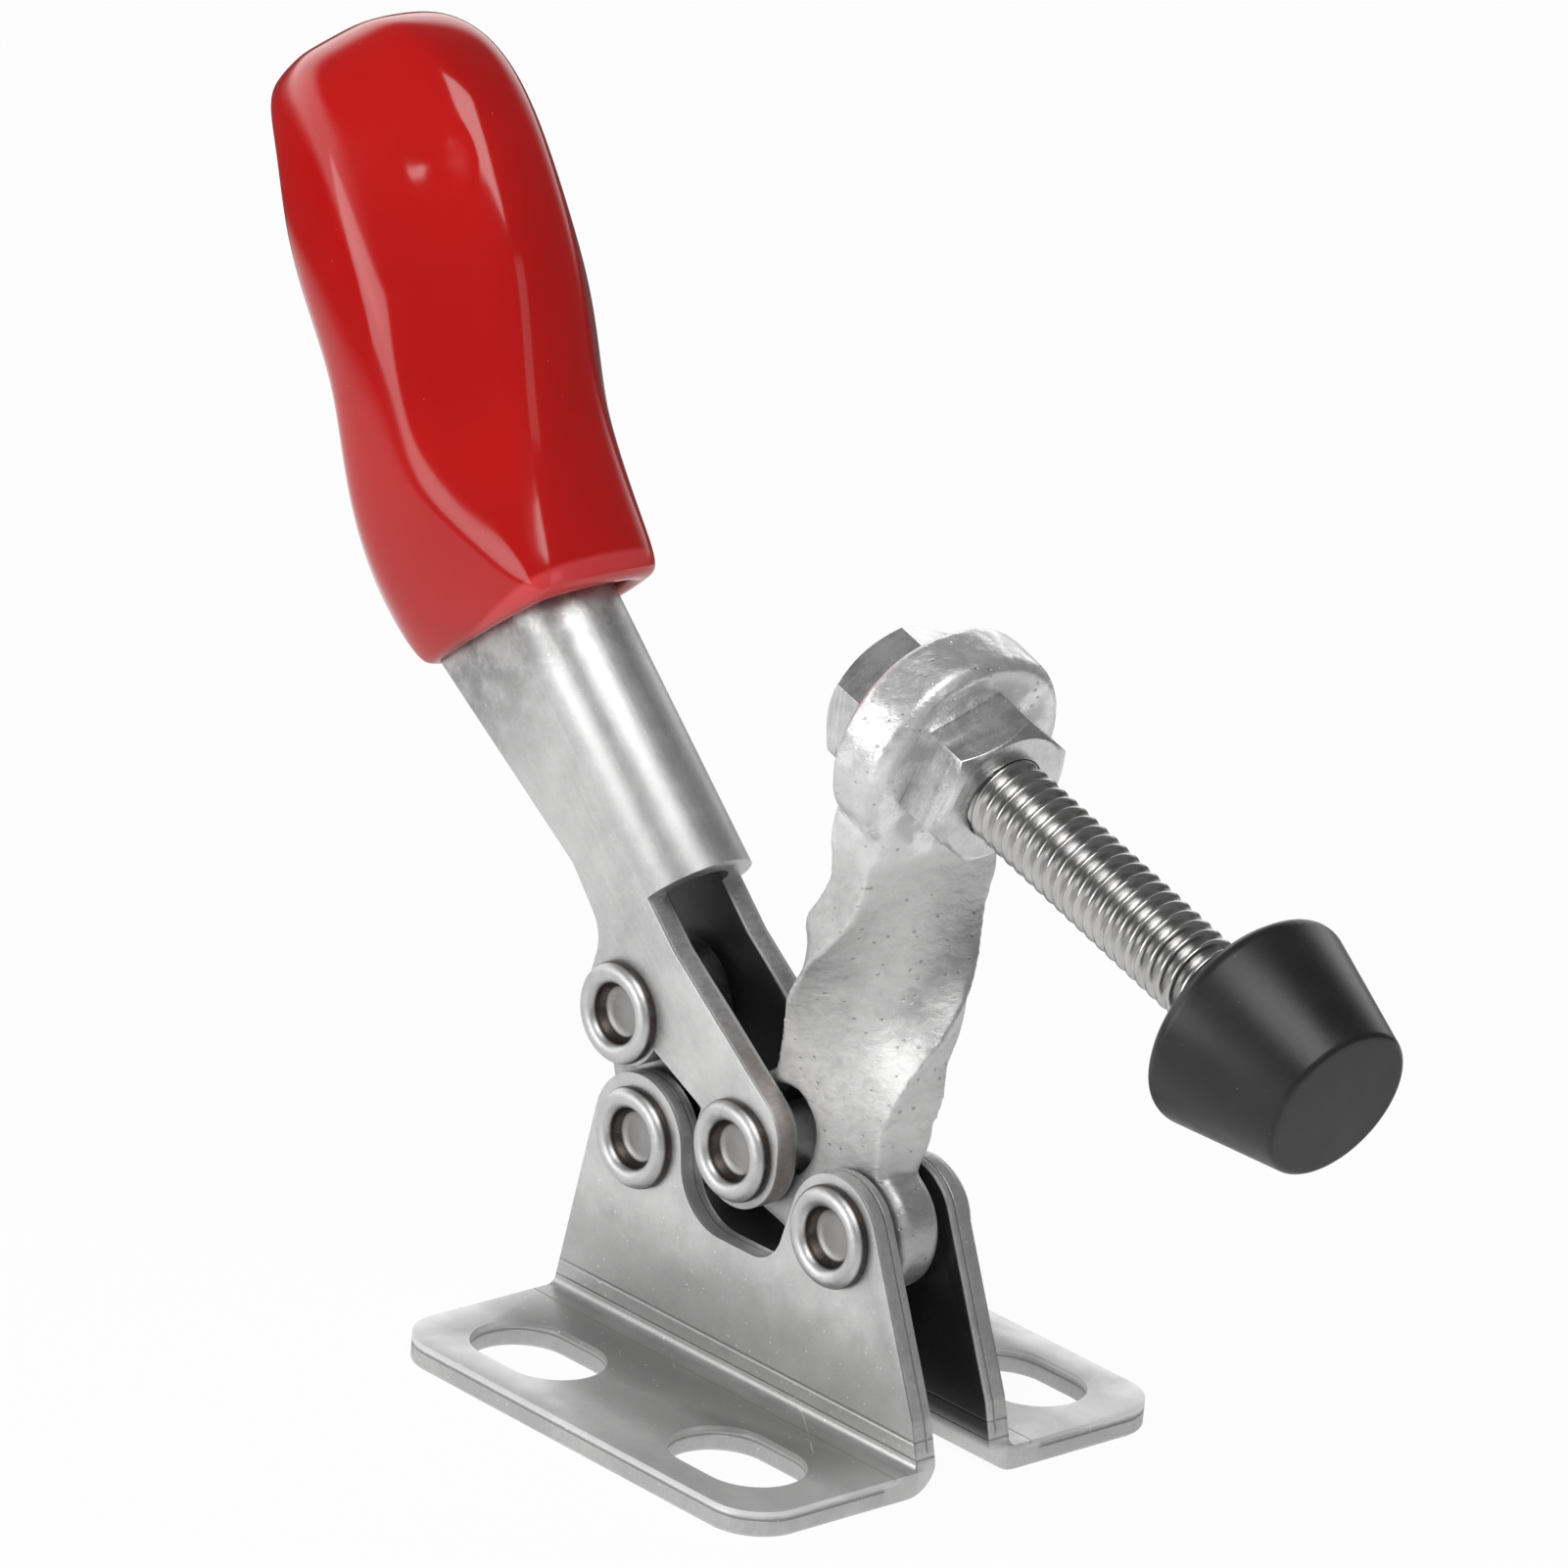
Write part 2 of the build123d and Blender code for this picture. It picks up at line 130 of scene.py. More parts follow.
class Paint(Board):
    """One material: its shader and the pattern, in millimetres, that feeds it."""

    def __init__(self, name, **constants):
        self.material = bpy.data.materials.new(name)
        self.material.use_nodes = True
        super().__init__(self.material.node_tree)
        self.shader = self.tree.nodes["Principled BSDF"]
        for socket, value in constants.items():
            self.shader.inputs[socket.replace("_", " ")].default_value = value
        self.place = self.node("ShaderNodeTexCoord", {}, {}, "Object")
        self.x, self.y, self.z = self.axes(self.stretched())

    def set(self, socket, value):
        self.fill(self.shader.inputs[socket], value)

    def stretched(self, x=1.0, y=1.0, z=1.0, turn=(0.0, 0.0, 0.0), shift=(0.0, 0.0, 0.0)):
        """Object coordinates in millimetres, turned and then stretched for a directional grain."""
        turned = self.node("ShaderNodeMapping", {}, {"Vector": self.place, "Rotation": turn})
        scale = (x / MM, y / MM, z / MM)
        values = {"Vector": turned, "Scale": scale, "Location": shift}
        return self.node("ShaderNodeMapping", {}, values)

    def span(self, operation, *vectors):
        """A number that Vector Math works out from its vectors."""
        settings = {"operation": operation}
        return self.node("ShaderNodeVectorMath", settings, dict(enumerate(vectors)), "Value")

    def axes(self, vector):
        """The three parts of a vector."""
        inputs = {"Vector": vector}
        return [self.node("ShaderNodeSeparateXYZ", {}, inputs, axis) for axis in range(3)]

    def noise(self, vector, scale, detail=3.0, roughness=0.55, distortion=0.0):
        values = {
            "Vector": vector,
            "Scale": scale,
            "Detail": detail,
            "Roughness": roughness,
            "Distortion": distortion,
        }
        return self.node("ShaderNodeTexNoise", {}, values)

    def spots(self, vector, scale, threshold):
        """Small round spots at scattered places, fewer with a lower threshold."""
        distance = self.node("ShaderNodeTexVoronoi", {}, {"Vector": vector, "Scale": scale})
        return distance.fall(threshold * 0.5, threshold)

    def near(self, centre, radius):
        """1 at a point of the piece, falling to 0 at radius from it."""
        distance = self.span("DISTANCE", self.place, tuple(MM * value for value in centre))
        return distance.fall(0.3 * radius * MM, radius * MM)

    def bump(self, height, distance, strength=1.0):
        """Normal from a height from 0 to 1, which stands for a distance in millimetres."""
        values = {"Height": height, "Distance": distance * MM, "Strength": strength}
        return self.node("ShaderNodeBump", {}, values)


def grey(value, warmth=0.0):
    return (value * (1 + warmth), value, value * (1 - warmth), 1.0)


# --------------------------------------------------------------------------
# Places on the clamp
# --------------------------------------------------------------------------

# Handle: the point under the window from which it is measured, and its lean from +X
WINDOW_END = Vector((-5.96, 0.0, 23.14))
HANDLE_LEAN = math.radians(137.0)
HANDLE_HALF_WIDTH = 2.8
HANDLE_INNER_R = 1.61
HANDLE_ALONG = Vector((math.cos(HANDLE_LEAN), 0.0, math.sin(HANDLE_LEAN)))
HANDLE_FRONT = Vector((math.sin(HANDLE_LEAN), 0.0, -math.cos(HANDLE_LEAN)))

# Spindle: the middle of the eye, and the tilt below +X
EYE_CENTRE = Vector((7.0, 0.0, 33.17))
SPINDLE_TILT = math.radians(17.25)
SPINDLE_AHEAD = Vector((math.cos(SPINDLE_TILT), 0.0, -math.sin(SPINDLE_TILT)))
SPINDLE_TURN = -SPINDLE_TILT
HEAD_SEAT = -1.575
BOLT_TIP = 23.425
CAP_REAR = 20.125
CAP_FRONT = 26.825

# Rivets, seen from the side (x, z), with the body that each belongs to
RIVETS = {
    "pivot_rivet_front": (5.7, 10.1, "base"),
    "pivot_rivet_rear": (-7.5, 10.1, "base"),
    "joint_rivet_arm": (-1.0, 11.8, "lever"),
    "joint_rivet_link": (-9.2, 15.54, "lever"),
}


def measure(paint, origin, direction):
    """Distance in millimetres from a point along a direction, at each place of a piece."""
    return paint.span("DOT_PRODUCT", paint.stretched(), tuple(direction)) - origin.dot(direction)


def spindle_station(paint):
    return measure(paint, EYE_CENTRE, SPINDLE_AHEAD)


def frame_matrix(origin, x_axis, z_axis):
    """Matrix, in metres, that puts a piece made at the origin in its place."""
    y_axis = z_axis.cross(x_axis)
    turn = Matrix((x_axis, y_axis, z_axis)).transposed().to_4x4()
    return Matrix.Translation(origin * MM) @ turn


# --------------------------------------------------------------------------
# Finishes
# --------------------------------------------------------------------------

BRIGHT_STEEL = grey(0.67, 0.005)
DULL_STEEL = grey(0.42)
# Dark grey for the real lines on the sheet and for painted shade.
DARK_MARKS_AND_SHADE = grey(0.24, 0.01)
RUST = (0.22, 0.10, 0.055, 1.0)
# Near black, for painted shade on inner faces.
PAINTED_INSIDE_SHADE = grey(0.03)

DEEP_RED = (0.45, 0.004, 0.004, 1.0)
BRIGHT_RED = (0.51, 0.006, 0.005, 1.0)

# Dark ring round the nut's seat, as squared radii: middle, half width and fade
NUT_SHADOW = (13.0, 3.5, 4.0)


def tumbled_steel(paint, drift, rough):
    """Tumbled steel sheet: its shade, roughness and height, for more marks to go on top."""
    place = paint.stretched(shift=(drift, drift, 0.0))
    clouds = paint.noise(place, 0.14, 4.0, 0.6)
    mottle = paint.noise(place, 0.9, 4.0, 0.65)
    grain = paint.noise(place, 5.5, 3.0, 0.7)
    shade = (clouds - 0.5) * 1.1 + (mottle - 0.5) * 0.55 + (grain - 0.5) * 0.35 + 0.62
    roughness = (mottle - 0.5) * 0.16 + (grain - 0.5) * 0.10 + rough
    height = grain * 0.5 + mottle * 0.5
    return shade, roughness, height


def hair_scratches(paint, turn, scale, threshold):
    """Fine straight scratches along one direction."""
    place = paint.stretched(0.12, 2.4, 2.4, turn)
    lines = paint.noise(place, scale, 2.0, 0.5, 0.3)
    return lines.rise(threshold, threshold + 0.05)


def base_sheet():
    """Base plates: satin faces, a coined crease along the bend and a punched edge."""
    paint = Paint("base_sheet_steel", Metallic=0.74)
    shade, roughness, height = tumbled_steel(paint, 0.0, 0.37)
    side = paint.y.size()
    flange_edge = paint.z.band(0.55, 0.35, 0.1) * side.rise(4.5, 4.8)
    wall_edge = side.band(2.2, 0.42, 0.1) * paint.z.rise(1.6, 2.2)
    cut = flange_edge.high(wall_edge)
    streaks = paint.noise(paint.stretched(1.0, 0.3, 0.3), 5.0, 3.0, 0.6)
    parting = (paint.z.band(0.78, 0.03, 0.05) * side.rise(4.5, 4.8)).high(
        side.band(2.05, 0.03, 0.06) * paint.z.rise(1.8, 2.2)
    )
    crease_wall = side.fall(3.0, 3.3)
    coin = paint.z.band(2.1, 0.28, 0.1) * crease_wall * side.rise(2.6, 2.75)
    coin_lines = (paint.z.band(2.52, 0.02, 0.06) + paint.z.band(1.72, 0.02, 0.05)) * crease_wall
    toe_line = side.band(4.05, 0.03, 0.08) * paint.z.rise(1.0, 1.15)
    wobble = paint.noise(paint.stretched(), 0.45, 3.0, 0.6)
    middle = paint.x.size().fall(7.5, 15.5)
    # Painted highlight: the flange top lightened towards both ends and the outer edge, in place of
    # the bright reflections there.
    flange_top = side.rise(3.2, 4.2) * paint.z.band(1.2, 0.25, 0.1)
    flange_painted_highlight = flange_top * (paint.x.size().rise(7.0, 14.0)).high(side.rise(8.5, 11.5))
    # Painted shade: the flange beside the crease and the lower wall are darkened, most in the
    # middle, in place of the shade and dark reflections near the bend.
    toe = (side + (wobble - 0.5) * 1.6).band(5.4, 0.9, 2.6) * paint.z.band(1.2, 0.2, 0.2)
    web = (paint.z + (wobble - 0.5) * 1.6).band(3.4, 0.8, 3.6) * side.rise(2.6, 2.75)
    painted_shade = (toe * (middle * 0.55 + 0.25)).high(web * (middle * 0.3 + 0.28))
    specks = paint.spots(paint.stretched(), 1.6, 0.09)
    scratches = hair_scratches(paint, (0.0, 0.0, 0.6), 2.2, 0.70)
    # Painted shade: the wall's inner face, towards the other plate, made nearly black.
    inside = side.fall(1.6, 1.66) * paint.z.rise(0.9, 2.2)
    rust = paint.near((-11.2, -12.5, 0.62), 0.55) * (wobble + 0.55)
    colour = paint.mix(shade.rise(0.0, 1.0), DULL_STEEL, BRIGHT_STEEL)
    colour = paint.mix(flange_painted_highlight * 0.9, colour, grey(0.95))
    colour = paint.mix(painted_shade, colour, DARK_MARKS_AND_SHADE)
    colour = paint.mix(cut * (streaks.rise(0.3, 0.7) * 0.45 + 0.12), colour, DULL_STEEL)
    lines = (parting * 0.75).high(coin_lines * 0.5).high(toe_line * 0.35)
    colour = paint.mix(lines, colour, DARK_MARKS_AND_SHADE)
    colour = paint.mix((specks * 0.8).high(scratches * 0.4), colour, grey(0.85))
    colour = paint.mix((rust * 0.9).low(1.0), colour, RUST)
    paint.set("Base Color", paint.mix(inside * 0.95, colour, PAINTED_INSIDE_SHADE))
    paint.set("Roughness", roughness + cut * 0.08 + rust * 0.3 - coin * 0.06)
    marks = coin * 0.6 - coin_lines * 0.9 - parting * 0.8 - toe_line * 0.4 - scratches * 0.15
    paint.set("Normal", paint.bump(height * 0.35 + streaks * cut * 0.7 + marks, 0.045, 0.8))
    return paint.material


def handle_sheet():
    """Handle: satin faces, cut edges on the legs, faint drawing lines along the fold."""
    paint = Paint("handle_sheet_steel", Metallic=0.8)
    shade, roughness, height = tumbled_steel(paint, 40.0, 0.42)
    along = measure(paint, WINDOW_END, HANDLE_ALONG)
    front = measure(paint, WINDOW_END, HANDLE_FRONT)
    side = paint.y.size()
    legs = front.fall(-HANDLE_HALF_WIDTH - 0.6, -HANDLE_HALF_WIDTH)
    cut = side.band(2.2, 0.4, 0.08) * legs.high(along.fall(0.0, 0.3))
    streaks = paint.noise(paint.stretched(0.5, 0.2, 0.5), 8.0, 3.0, 0.6)
    drawn = paint.noise(paint.stretched(0.08, 1.6, 1.6, (0.0, HANDLE_LEAN, 0.0)), 2.4, 3.0, 0.6)
    specks = paint.spots(paint.stretched(), 2.0, 0.10)
    heat = cut * along.fall(-9.0, -5.0) * 0.35
    # Mottle that breaks up the darkening below.
    dark_mottle = paint.noise(paint.stretched(), 0.5, 5.0, 0.7).rise(0.38, 0.62)
    # Painted shadow: the handle darkened in mottled patches towards the grip's mouth.
    grip_shadow = along.rise(8.5, 14.5) * dark_mottle
    # Darker mottling on the legs towards the window end.
    legs_darkening = front.fall(-8.0, -3.0) * along.fall(-2.0, 3.0) * dark_mottle
    # Painted shade: the inside of the channel, within the fold's inner radius, made nearly black.
    behind_crown = (front + HANDLE_HALF_WIDTH).high(0.0)
    hollow = HANDLE_INNER_R**2
    inside = (behind_crown * behind_crown + paint.y * paint.y).fall(hollow, 1.1 * hollow)
    colour = paint.mix((shade + (drawn - 0.5) * 0.35).rise(0.0, 1.0), DULL_STEEL, BRIGHT_STEEL)
    colour = paint.mix(cut * (streaks.rise(0.35, 0.65) * 0.5 + 0.2), colour, grey(0.34))
    colour = paint.mix((grip_shadow * 0.6).high(legs_darkening * 0.3), colour, grey(0.2))
    colour = paint.mix(heat, colour, (0.42, 0.31, 0.27, 1.0))
    colour = paint.mix(inside * 0.95, colour, PAINTED_INSIDE_SHADE)
    colour = paint.mix(specks * (1.0 - inside) * 0.7, colour, grey(0.8))
    paint.set("Base Color", colour)
    paint.set("Roughness", roughness + cut * 0.08 + (drawn - 0.5) * 0.1 + inside * 0.15)
    paint.set("Normal", paint.bump(height * 0.35 + streaks * cut * 0.6 + drawn * 0.12, 0.04, 0.8))
    return paint.material


def link_sheet():
    """Inner link: darker steel with patches of oily grime."""
    paint = Paint("link_sheet_steel", Metallic=1.0)
    shade, roughness, height = tumbled_steel(paint, 90.0, 0.34)
    grime = paint.noise(paint.stretched(), 0.7, 3.0, 0.6).rise(0.42, 0.62)
    colour = paint.mix(shade.rise(0.0, 1.0), grey(0.28), grey(0.52))
    paint.set("Base Color", paint.mix(grime * 0.5, colour, grey(0.08)))
    paint.set("Roughness", roughness)
    paint.set("Normal", paint.bump(height, 0.02, 0.6))
    return paint.material


def forged_steel():
    """Forged arm: fine scale pits and drawn wrinkles under a light tumbled finish."""
    paint = Paint("forged_arm_steel", Metallic=0.74)
    clouds = paint.noise(paint.stretched(), 0.2, 4.0, 0.6)
    wrinkles = paint.noise(paint.stretched(1.3, 1.3, 2.6, (0.25, 0.45, 0.0)), 0.9, 5.0, 0.62, 0.4)
    grain = paint.noise(paint.stretched(), 4.5, 3.0, 0.65)
    pits = paint.spots(paint.stretched(1.0, 1.0, 1.6, (0.25, 0.45, 0.0)), 1.3, 0.16)
    # Painted highlight: the top of the eye lightened a little all over and more in patches, in
    # place of the bright reflections on its rim.
    highlight_patches = paint.noise(paint.stretched(), 0.55, 4.0, 0.6).rise(0.36, 0.66)
    eye_highlight = paint.z.rise(27.5, 28.6) * highlight_patches
    # Painted shade: the arm darkened towards its foot, low down between the plates.
    foot_shade = paint.z.fall(12.5, 15.5)
    station = spindle_station(paint)
    reach = paint.span("DISTANCE", paint.stretched(), tuple(EYE_CENTRE))
    radius_squared = reach * reach - station * station
    # Painted shadow: a dark ring on the eye round the nut.
    seat = radius_squared.band(*NUT_SHADOW) * station.rise(0.9, 1.2)
    shade = (clouds - 0.5) * 0.9 + (wrinkles - 0.5) * 0.9 + (grain - 0.5) * 0.35 + 0.66
    colour = paint.mix(shade.rise(0.0, 1.0), grey(0.40), BRIGHT_STEEL)
    colour = paint.mix((foot_shade * 0.4).high(seat * 0.55), colour, grey(0.2))
    colour = paint.mix(paint.z.rise(27.5, 28.6) * eye_highlight.high(0.35) * 0.8, colour, grey(0.92))
    paint.set("Base Color", paint.mix(pits * 0.45, colour, grey(0.22)))
    paint.set("Roughness", (wrinkles - 0.5) * 0.2 + (grain - 0.5) * 0.12 + 0.45 - eye_highlight * 0.2)
    height = wrinkles * 0.75 + grain * 0.18 - pits * 0.45
    paint.set("Normal", paint.bump(height, 0.085, 0.75))
    return paint.material


def rivet_steel():
    """Rivets: rolled rim, painted shade on the recess wall with a brown tint, a darker warm grey
    floor.
    """
    paint = Paint("rivet_steel", Metallic=1.0)
    place = paint.stretched()
    clouds = paint.noise(place, 0.7, 3.0, 0.6)
    grain = paint.noise(place, 4.5, 3.0, 0.65)
    dents = paint.noise(place, 1.6, 3.0, 0.6, 0.6)
    depth = paint.y * -1.0
    # Painted shade: the wall of the recess, above its floor, made a nearly black brown.
    recess_shade = depth.fall(3.12, 3.3) * depth.rise(2.66, 2.74)
    shade = (clouds - 0.5) * 0.9 + (grain - 0.5) * 0.4 + 0.62
    colour = paint.mix(shade.rise(0.0, 1.0), grey(0.40), grey(0.64))
    colour = paint.mix(depth.fall(2.72, 2.8) * depth.rise(2.5, 2.55), colour, grey(0.34, 0.03))
    colour = paint.mix(recess_shade * (dents + 0.5).low(0.95), colour, (0.06, 0.048, 0.042, 1.0))
    paint.set("Base Color", colour)
    paint.set("Roughness", (grain - 0.5) * 0.14 + 0.44)
    paint.set("Normal", paint.bump(dents * 0.6 + grain * 0.3, 0.05, 0.5))
    return paint.material


def hexagon_steel():
    """Bolt head and nut: pressed faces with brushed patches."""
    paint = Paint("hexagon_steel", Metallic=0.85)
    turn = (0.0, SPINDLE_TURN, 0.0)
    brushed = paint.noise(paint.stretched(3.2, 0.25, 0.25, turn), 1.4, 3.0, 0.6)
    clouds = paint.noise(paint.stretched(), 0.5, 4.0, 0.65)
    grain = paint.noise(paint.stretched(), 5.0, 3.0, 0.7)
    shade = (brushed - 0.5) * 0.8 + (clouds - 0.5) * 1.1 + (grain - 0.5) * 0.3 + 0.62
    paint.set("Base Color", paint.mix(shade.rise(0.0, 1.0), grey(0.34), grey(0.74)))
    paint.set("Roughness", (clouds - 0.5) * 0.22 + (grain - 0.5) * 0.1 + 0.26)
    paint.set("Normal", paint.bump(grain * 0.35 + brushed * 0.3 + clouds * 0.5, 0.04, 0.6))
    return paint.material


def thread_steel():
    """Rolled thread: bright crests and turning lines round the flanks."""
    paint = Paint("thread_steel", Metallic=1.0)
    turn = (0.0, SPINDLE_TURN, 0.0)
    rings = paint.noise(paint.stretched(9.0, 0.15, 0.15, turn), 1.6, 3.0, 0.6)
    clouds = paint.noise(paint.stretched(), 0.6, 3.0, 0.6)
    shade = (rings - 0.5) * 0.7 + (clouds - 0.5) * 0.8 + 0.6
    paint.set("Base Color", paint.mix(shade.rise(0.0, 1.0), grey(0.36, 0.01), grey(0.60, 0.01)))
    paint.set("Roughness", (rings - 0.5) * 0.15 + 0.24)
    paint.set("Normal", paint.bump(rings, 0.012, 0.6))
    return paint.material


def cap_rubber():
    """Moulded black rubber: a soft sheen on the cone, dust specks, a greyer ground face."""
    paint = Paint("cap_rubber", Specular_IOR_Level=0.42)
    place = paint.stretched()
    bloom = paint.noise(place, 0.35, 4.0, 0.6)
    fine = paint.noise(place, 7.0, 3.0, 0.6)
    dust = paint.spots(place, 1.1, 0.06)
    ahead = spindle_station(paint)
    face = ahead.rise(CAP_FRONT - 0.10, CAP_FRONT - 0.02)
    colour = paint.mix(bloom.rise(0.3, 0.75), grey(0.010), grey(0.018))
    colour = paint.mix(face, colour, grey(0.050))
    paint.set("Base Color", paint.mix(dust * (1.0 - face) * 0.5, colour, grey(0.12)))
    paint.set("Roughness", (bloom - 0.5) * 0.18 + (fine - 0.5) * 0.08 + 0.36 + face * 0.3)
    paint.set("Normal", paint.bump(fine * 0.5 + bloom * 0.5, 0.02, 0.35))
    return paint.material


def grip_vinyl():
    """Dipped red vinyl: deep gloss with a little dust, paler where it thins at the mouth."""
    paint = Paint("grip_vinyl", IOR=1.5)
    along = measure(paint, WINDOW_END, HANDLE_ALONG)
    place = paint.stretched()
    clouds = paint.noise(place, 0.12, 3.0, 0.5)
    peel = paint.noise(place, 0.55, 2.0, 0.5)
    dust = paint.spots(place, 0.8, 0.035)
    lip = along.fall(15.02, 15.3)
    colour = paint.mix(clouds.rise(0.3, 0.7), DEEP_RED, BRIGHT_RED)
    colour = paint.mix(lip * 0.5, colour, (0.80, 0.09, 0.10, 1.0))
    paint.set("Base Color", paint.mix(dust * 0.5, colour, (0.75, 0.25, 0.25, 1.0)))
    paint.set("Roughness", (clouds - 0.5) * 0.05 + 0.12)
    paint.set("Normal", paint.bump(peel, 0.05, 0.12))
    return paint.material


# --------------------------------------------------------------------------
# Modelling by hand
# --------------------------------------------------------------------------

# Degrees between two faces, past which the edge between them counts as sharp
SHARP = 40.0


def pick_nothing():
    bpy.ops.object.select_all(action="DESELECT")


def pick(piece):
    pick_nothing()
    piece.select_set(True)
    bpy.context.view_layer.objects.active = piece


def edit(piece, mode="VERT"):
    pick(piece)
    bpy.ops.object.mode_set(mode="EDIT")
    bpy.ops.mesh.select_mode(type=mode)


def leave():
    bpy.ops.object.mode_set(mode="OBJECT")


def finish_with(piece, kind, **settings):
    """Adds a modifier with its settings and applies it."""
    pick(piece)
    modifier = piece.modifiers.new(kind.title(), kind)
    for name, value in settings.items():
        setattr(modifier, name, value)
    bpy.ops.object.modifier_apply(modifier=modifier.name)


def smooth(piece, degrees=35.0):
    pick(piece)
    bpy.ops.object.shade_smooth_by_angle(angle=math.radians(degrees))


def face_outwards(piece):
    edit(piece)
    bpy.ops.mesh.select_all(action="SELECT")
    bpy.ops.mesh.remove_doubles(threshold=1e-7)
    bpy.ops.mesh.normals_make_consistent(inside=False)
    leave()


def settle(piece, matrix):
    """Puts a piece made at the origin in its place, with the place in its mesh."""
    piece.matrix_world = matrix
    pick(piece)
    bpy.ops.object.transform_apply(location=True, rotation=True, scale=True)


def dress(piece, node, body, slot, *materials):
    """Gives a finished piece its materials and its place in the moving model."""
    piece.data.materials.clear()
    for material in materials:
        piece.data.materials.append(material)
    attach(piece, body)
    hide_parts(node)


def break_edges(piece, width, steps, degrees=SHARP):
    """Rounds every edge that is sharper than the angle."""
    finish_with(
        piece,
        "BEVEL",
        width=width * MM,
        segments=steps,
        limit_method="ANGLE",
        angle_limit=math.radians(degrees),
        use_clamp_overlap=True,
    )


def pick_points(piece, indices):
    """Selects only these points of a mesh."""
    mesh = piece.data
    for part in (mesh.vertices, mesh.edges, mesh.polygons):
        part.foreach_set("select", [False] * len(part))
    for index in indices:
        mesh.vertices[index].select = True


def press(piece, place, radius, push):
    """Pushes the skin in or out round a place, fading to nothing at the radius."""
    spot = Vector(place) * MM
    nearest = min(piece.data.vertices, key=lambda vertex: (vertex.co - spot).length)
    pick_points(piece, [nearest.index])
    edit(piece)
    bpy.ops.transform.translate(
        value=tuple(MM * step for step in push),
        use_proportional_edit=True,
        proportional_edit_falloff="SMOOTH",
        proportional_size=radius * MM,
    )
    leave()


def solid_copy(node, name):
    """A copy of a solid with its triangles merged back into its flat faces."""
    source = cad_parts[node]
    piece = bpy.data.objects.new(name, source.data.copy())
    bpy.context.scene.collection.objects.link(piece)
    edit(piece)
    bpy.ops.mesh.select_all(action="SELECT")
    bpy.ops.mesh.remove_doubles(threshold=1e-6)
    bpy.ops.mesh.dissolve_limited(angle_limit=math.radians(0.4))
    leave()
    return piece


def edit_edges(piece, wanted):
    """Opens edit mode with only those picked edges left whose two ends pass the test."""
    mesh = piece.data
    for edge in mesh.edges:
        ends = [mesh.vertices[index].co / MM for index in edge.vertices]
        edge.select = edge.select and all(wanted(end) for end in ends)
    for part in (mesh.vertices, mesh.polygons):
        part.foreach_set("select", [False] * len(part))
    for edge in mesh.edges:
        if edge.select:
            for index in edge.vertices:
                mesh.vertices[index].select = True
    pick(piece)
    bpy.ops.object.mode_set(mode="EDIT")


def roll_edges(piece, wanted, width, steps):
    """Rounds the wanted sharp edges, as a punch rolls the side that it enters."""
    edit(piece, "EDGE")
    bpy.ops.mesh.select_all(action="DESELECT")
    bpy.ops.mesh.edges_select_sharp(sharpness=math.radians(SHARP))
    leave()
    edit_edges(piece, wanted)
    bpy.ops.mesh.bevel(offset=width * MM, segments=steps, affect="EDGES", clamp_overlap=True)
    leave()


def turned_piece(name, rings, sides):
    """A lathe form about Z: a circle drawn on, ring by ring, through (radius, height) in mm."""
    pick_nothing()
    radius, height = rings[0]
    start = (0.0, 0.0, height * MM)
    bpy.ops.mesh.primitive_circle_add(vertices=sides, radius=radius * MM, location=start)
    piece = bpy.context.object
    piece.name = name
    bpy.ops.object.transform_apply(location=True)
    bpy.ops.object.mode_set(mode="EDIT")
    bpy.ops.mesh.select_all(action="SELECT")
    bpy.ops.mesh.edge_face_add()
    for next_radius, next_height in rings[1:]:
        step = (0.0, 0.0, (next_height - height) * MM)
        bpy.ops.mesh.extrude_region_move(TRANSFORM_OT_translate={"value": step})
        ratio = next_radius / radius
        centre = (0.0, 0.0, next_height * MM)
        bpy.ops.transform.resize(value=(ratio, ratio, 1.0), center_override=centre)
        radius, height = next_radius, next_height
    leave()
    return piece


# --------------------------------------------------------------------------
# Base plates, handle and link
# --------------------------------------------------------------------------

SHEET = 1.2
WALL_OUTER = 2.8
TOUCH = 0.02
ROLLED_EDGE = 0.26
HANDLE_EDGE = 0.2
LINK_EDGE = 0.3
CUT_EDGE = 0.07
SHEET_CORNER = 50.0
SHEET_SMOOTH = 30.0

# Saddle: the corner of its rear round, how far the round's points lie from it, and its growth
SADDLE_CORNER = (-4.2, 7.3)
SADDLE_BEHIND = 0.3
SADDLE_AHEAD = 1.8
SADDLE_ABOVE = 1.75
SADDLE_OPENING = 1.5


def open_saddle(piece):
    """Widens the round in the rear corner of the saddle between the two ears."""
    x, z = SADDLE_CORNER
    round_points = []
    for vertex in piece.data.vertices:
        place = vertex.co / MM
        beside = x - SADDLE_BEHIND < place.x < x + SADDLE_AHEAD
        if beside and z - TOUCH < place.z < z + SADDLE_ABOVE:
            round_points.append(vertex.index)
    pick_points(piece, round_points)
    edit(piece)
    centre = (x * MM, 0.0, z * MM)
    growth = (SADDLE_OPENING, 1.0, SADDLE_OPENING)
    bpy.ops.transform.resize(value=growth, center_override=centre)
    leave()


def on_punched_side(place):
    """True on the flange's top and the wall's outer face, where the punch went in."""
    return place.z > SHEET - TOUCH and abs(place.y) > WALL_OUTER - TOUCH


def base_plate(node, name):
    """Bent plate with the punched side rolled over and the other side just broken."""
    piece = solid_copy(node, name)
    open_saddle(piece)
    roll_edges(piece, on_punched_side, ROLLED_EDGE, 4)
    break_edges(piece, CUT_EDGE, 2, SHEET_CORNER)
    smooth(piece, SHEET_SMOOTH)
    dress(piece, node, "base", "plated_steel", BASE_SHEET)


def on_cheek(place):
    """True on the handle's two outer faces."""
    return abs(place.y) > HANDLE_HALF_WIDTH - TOUCH


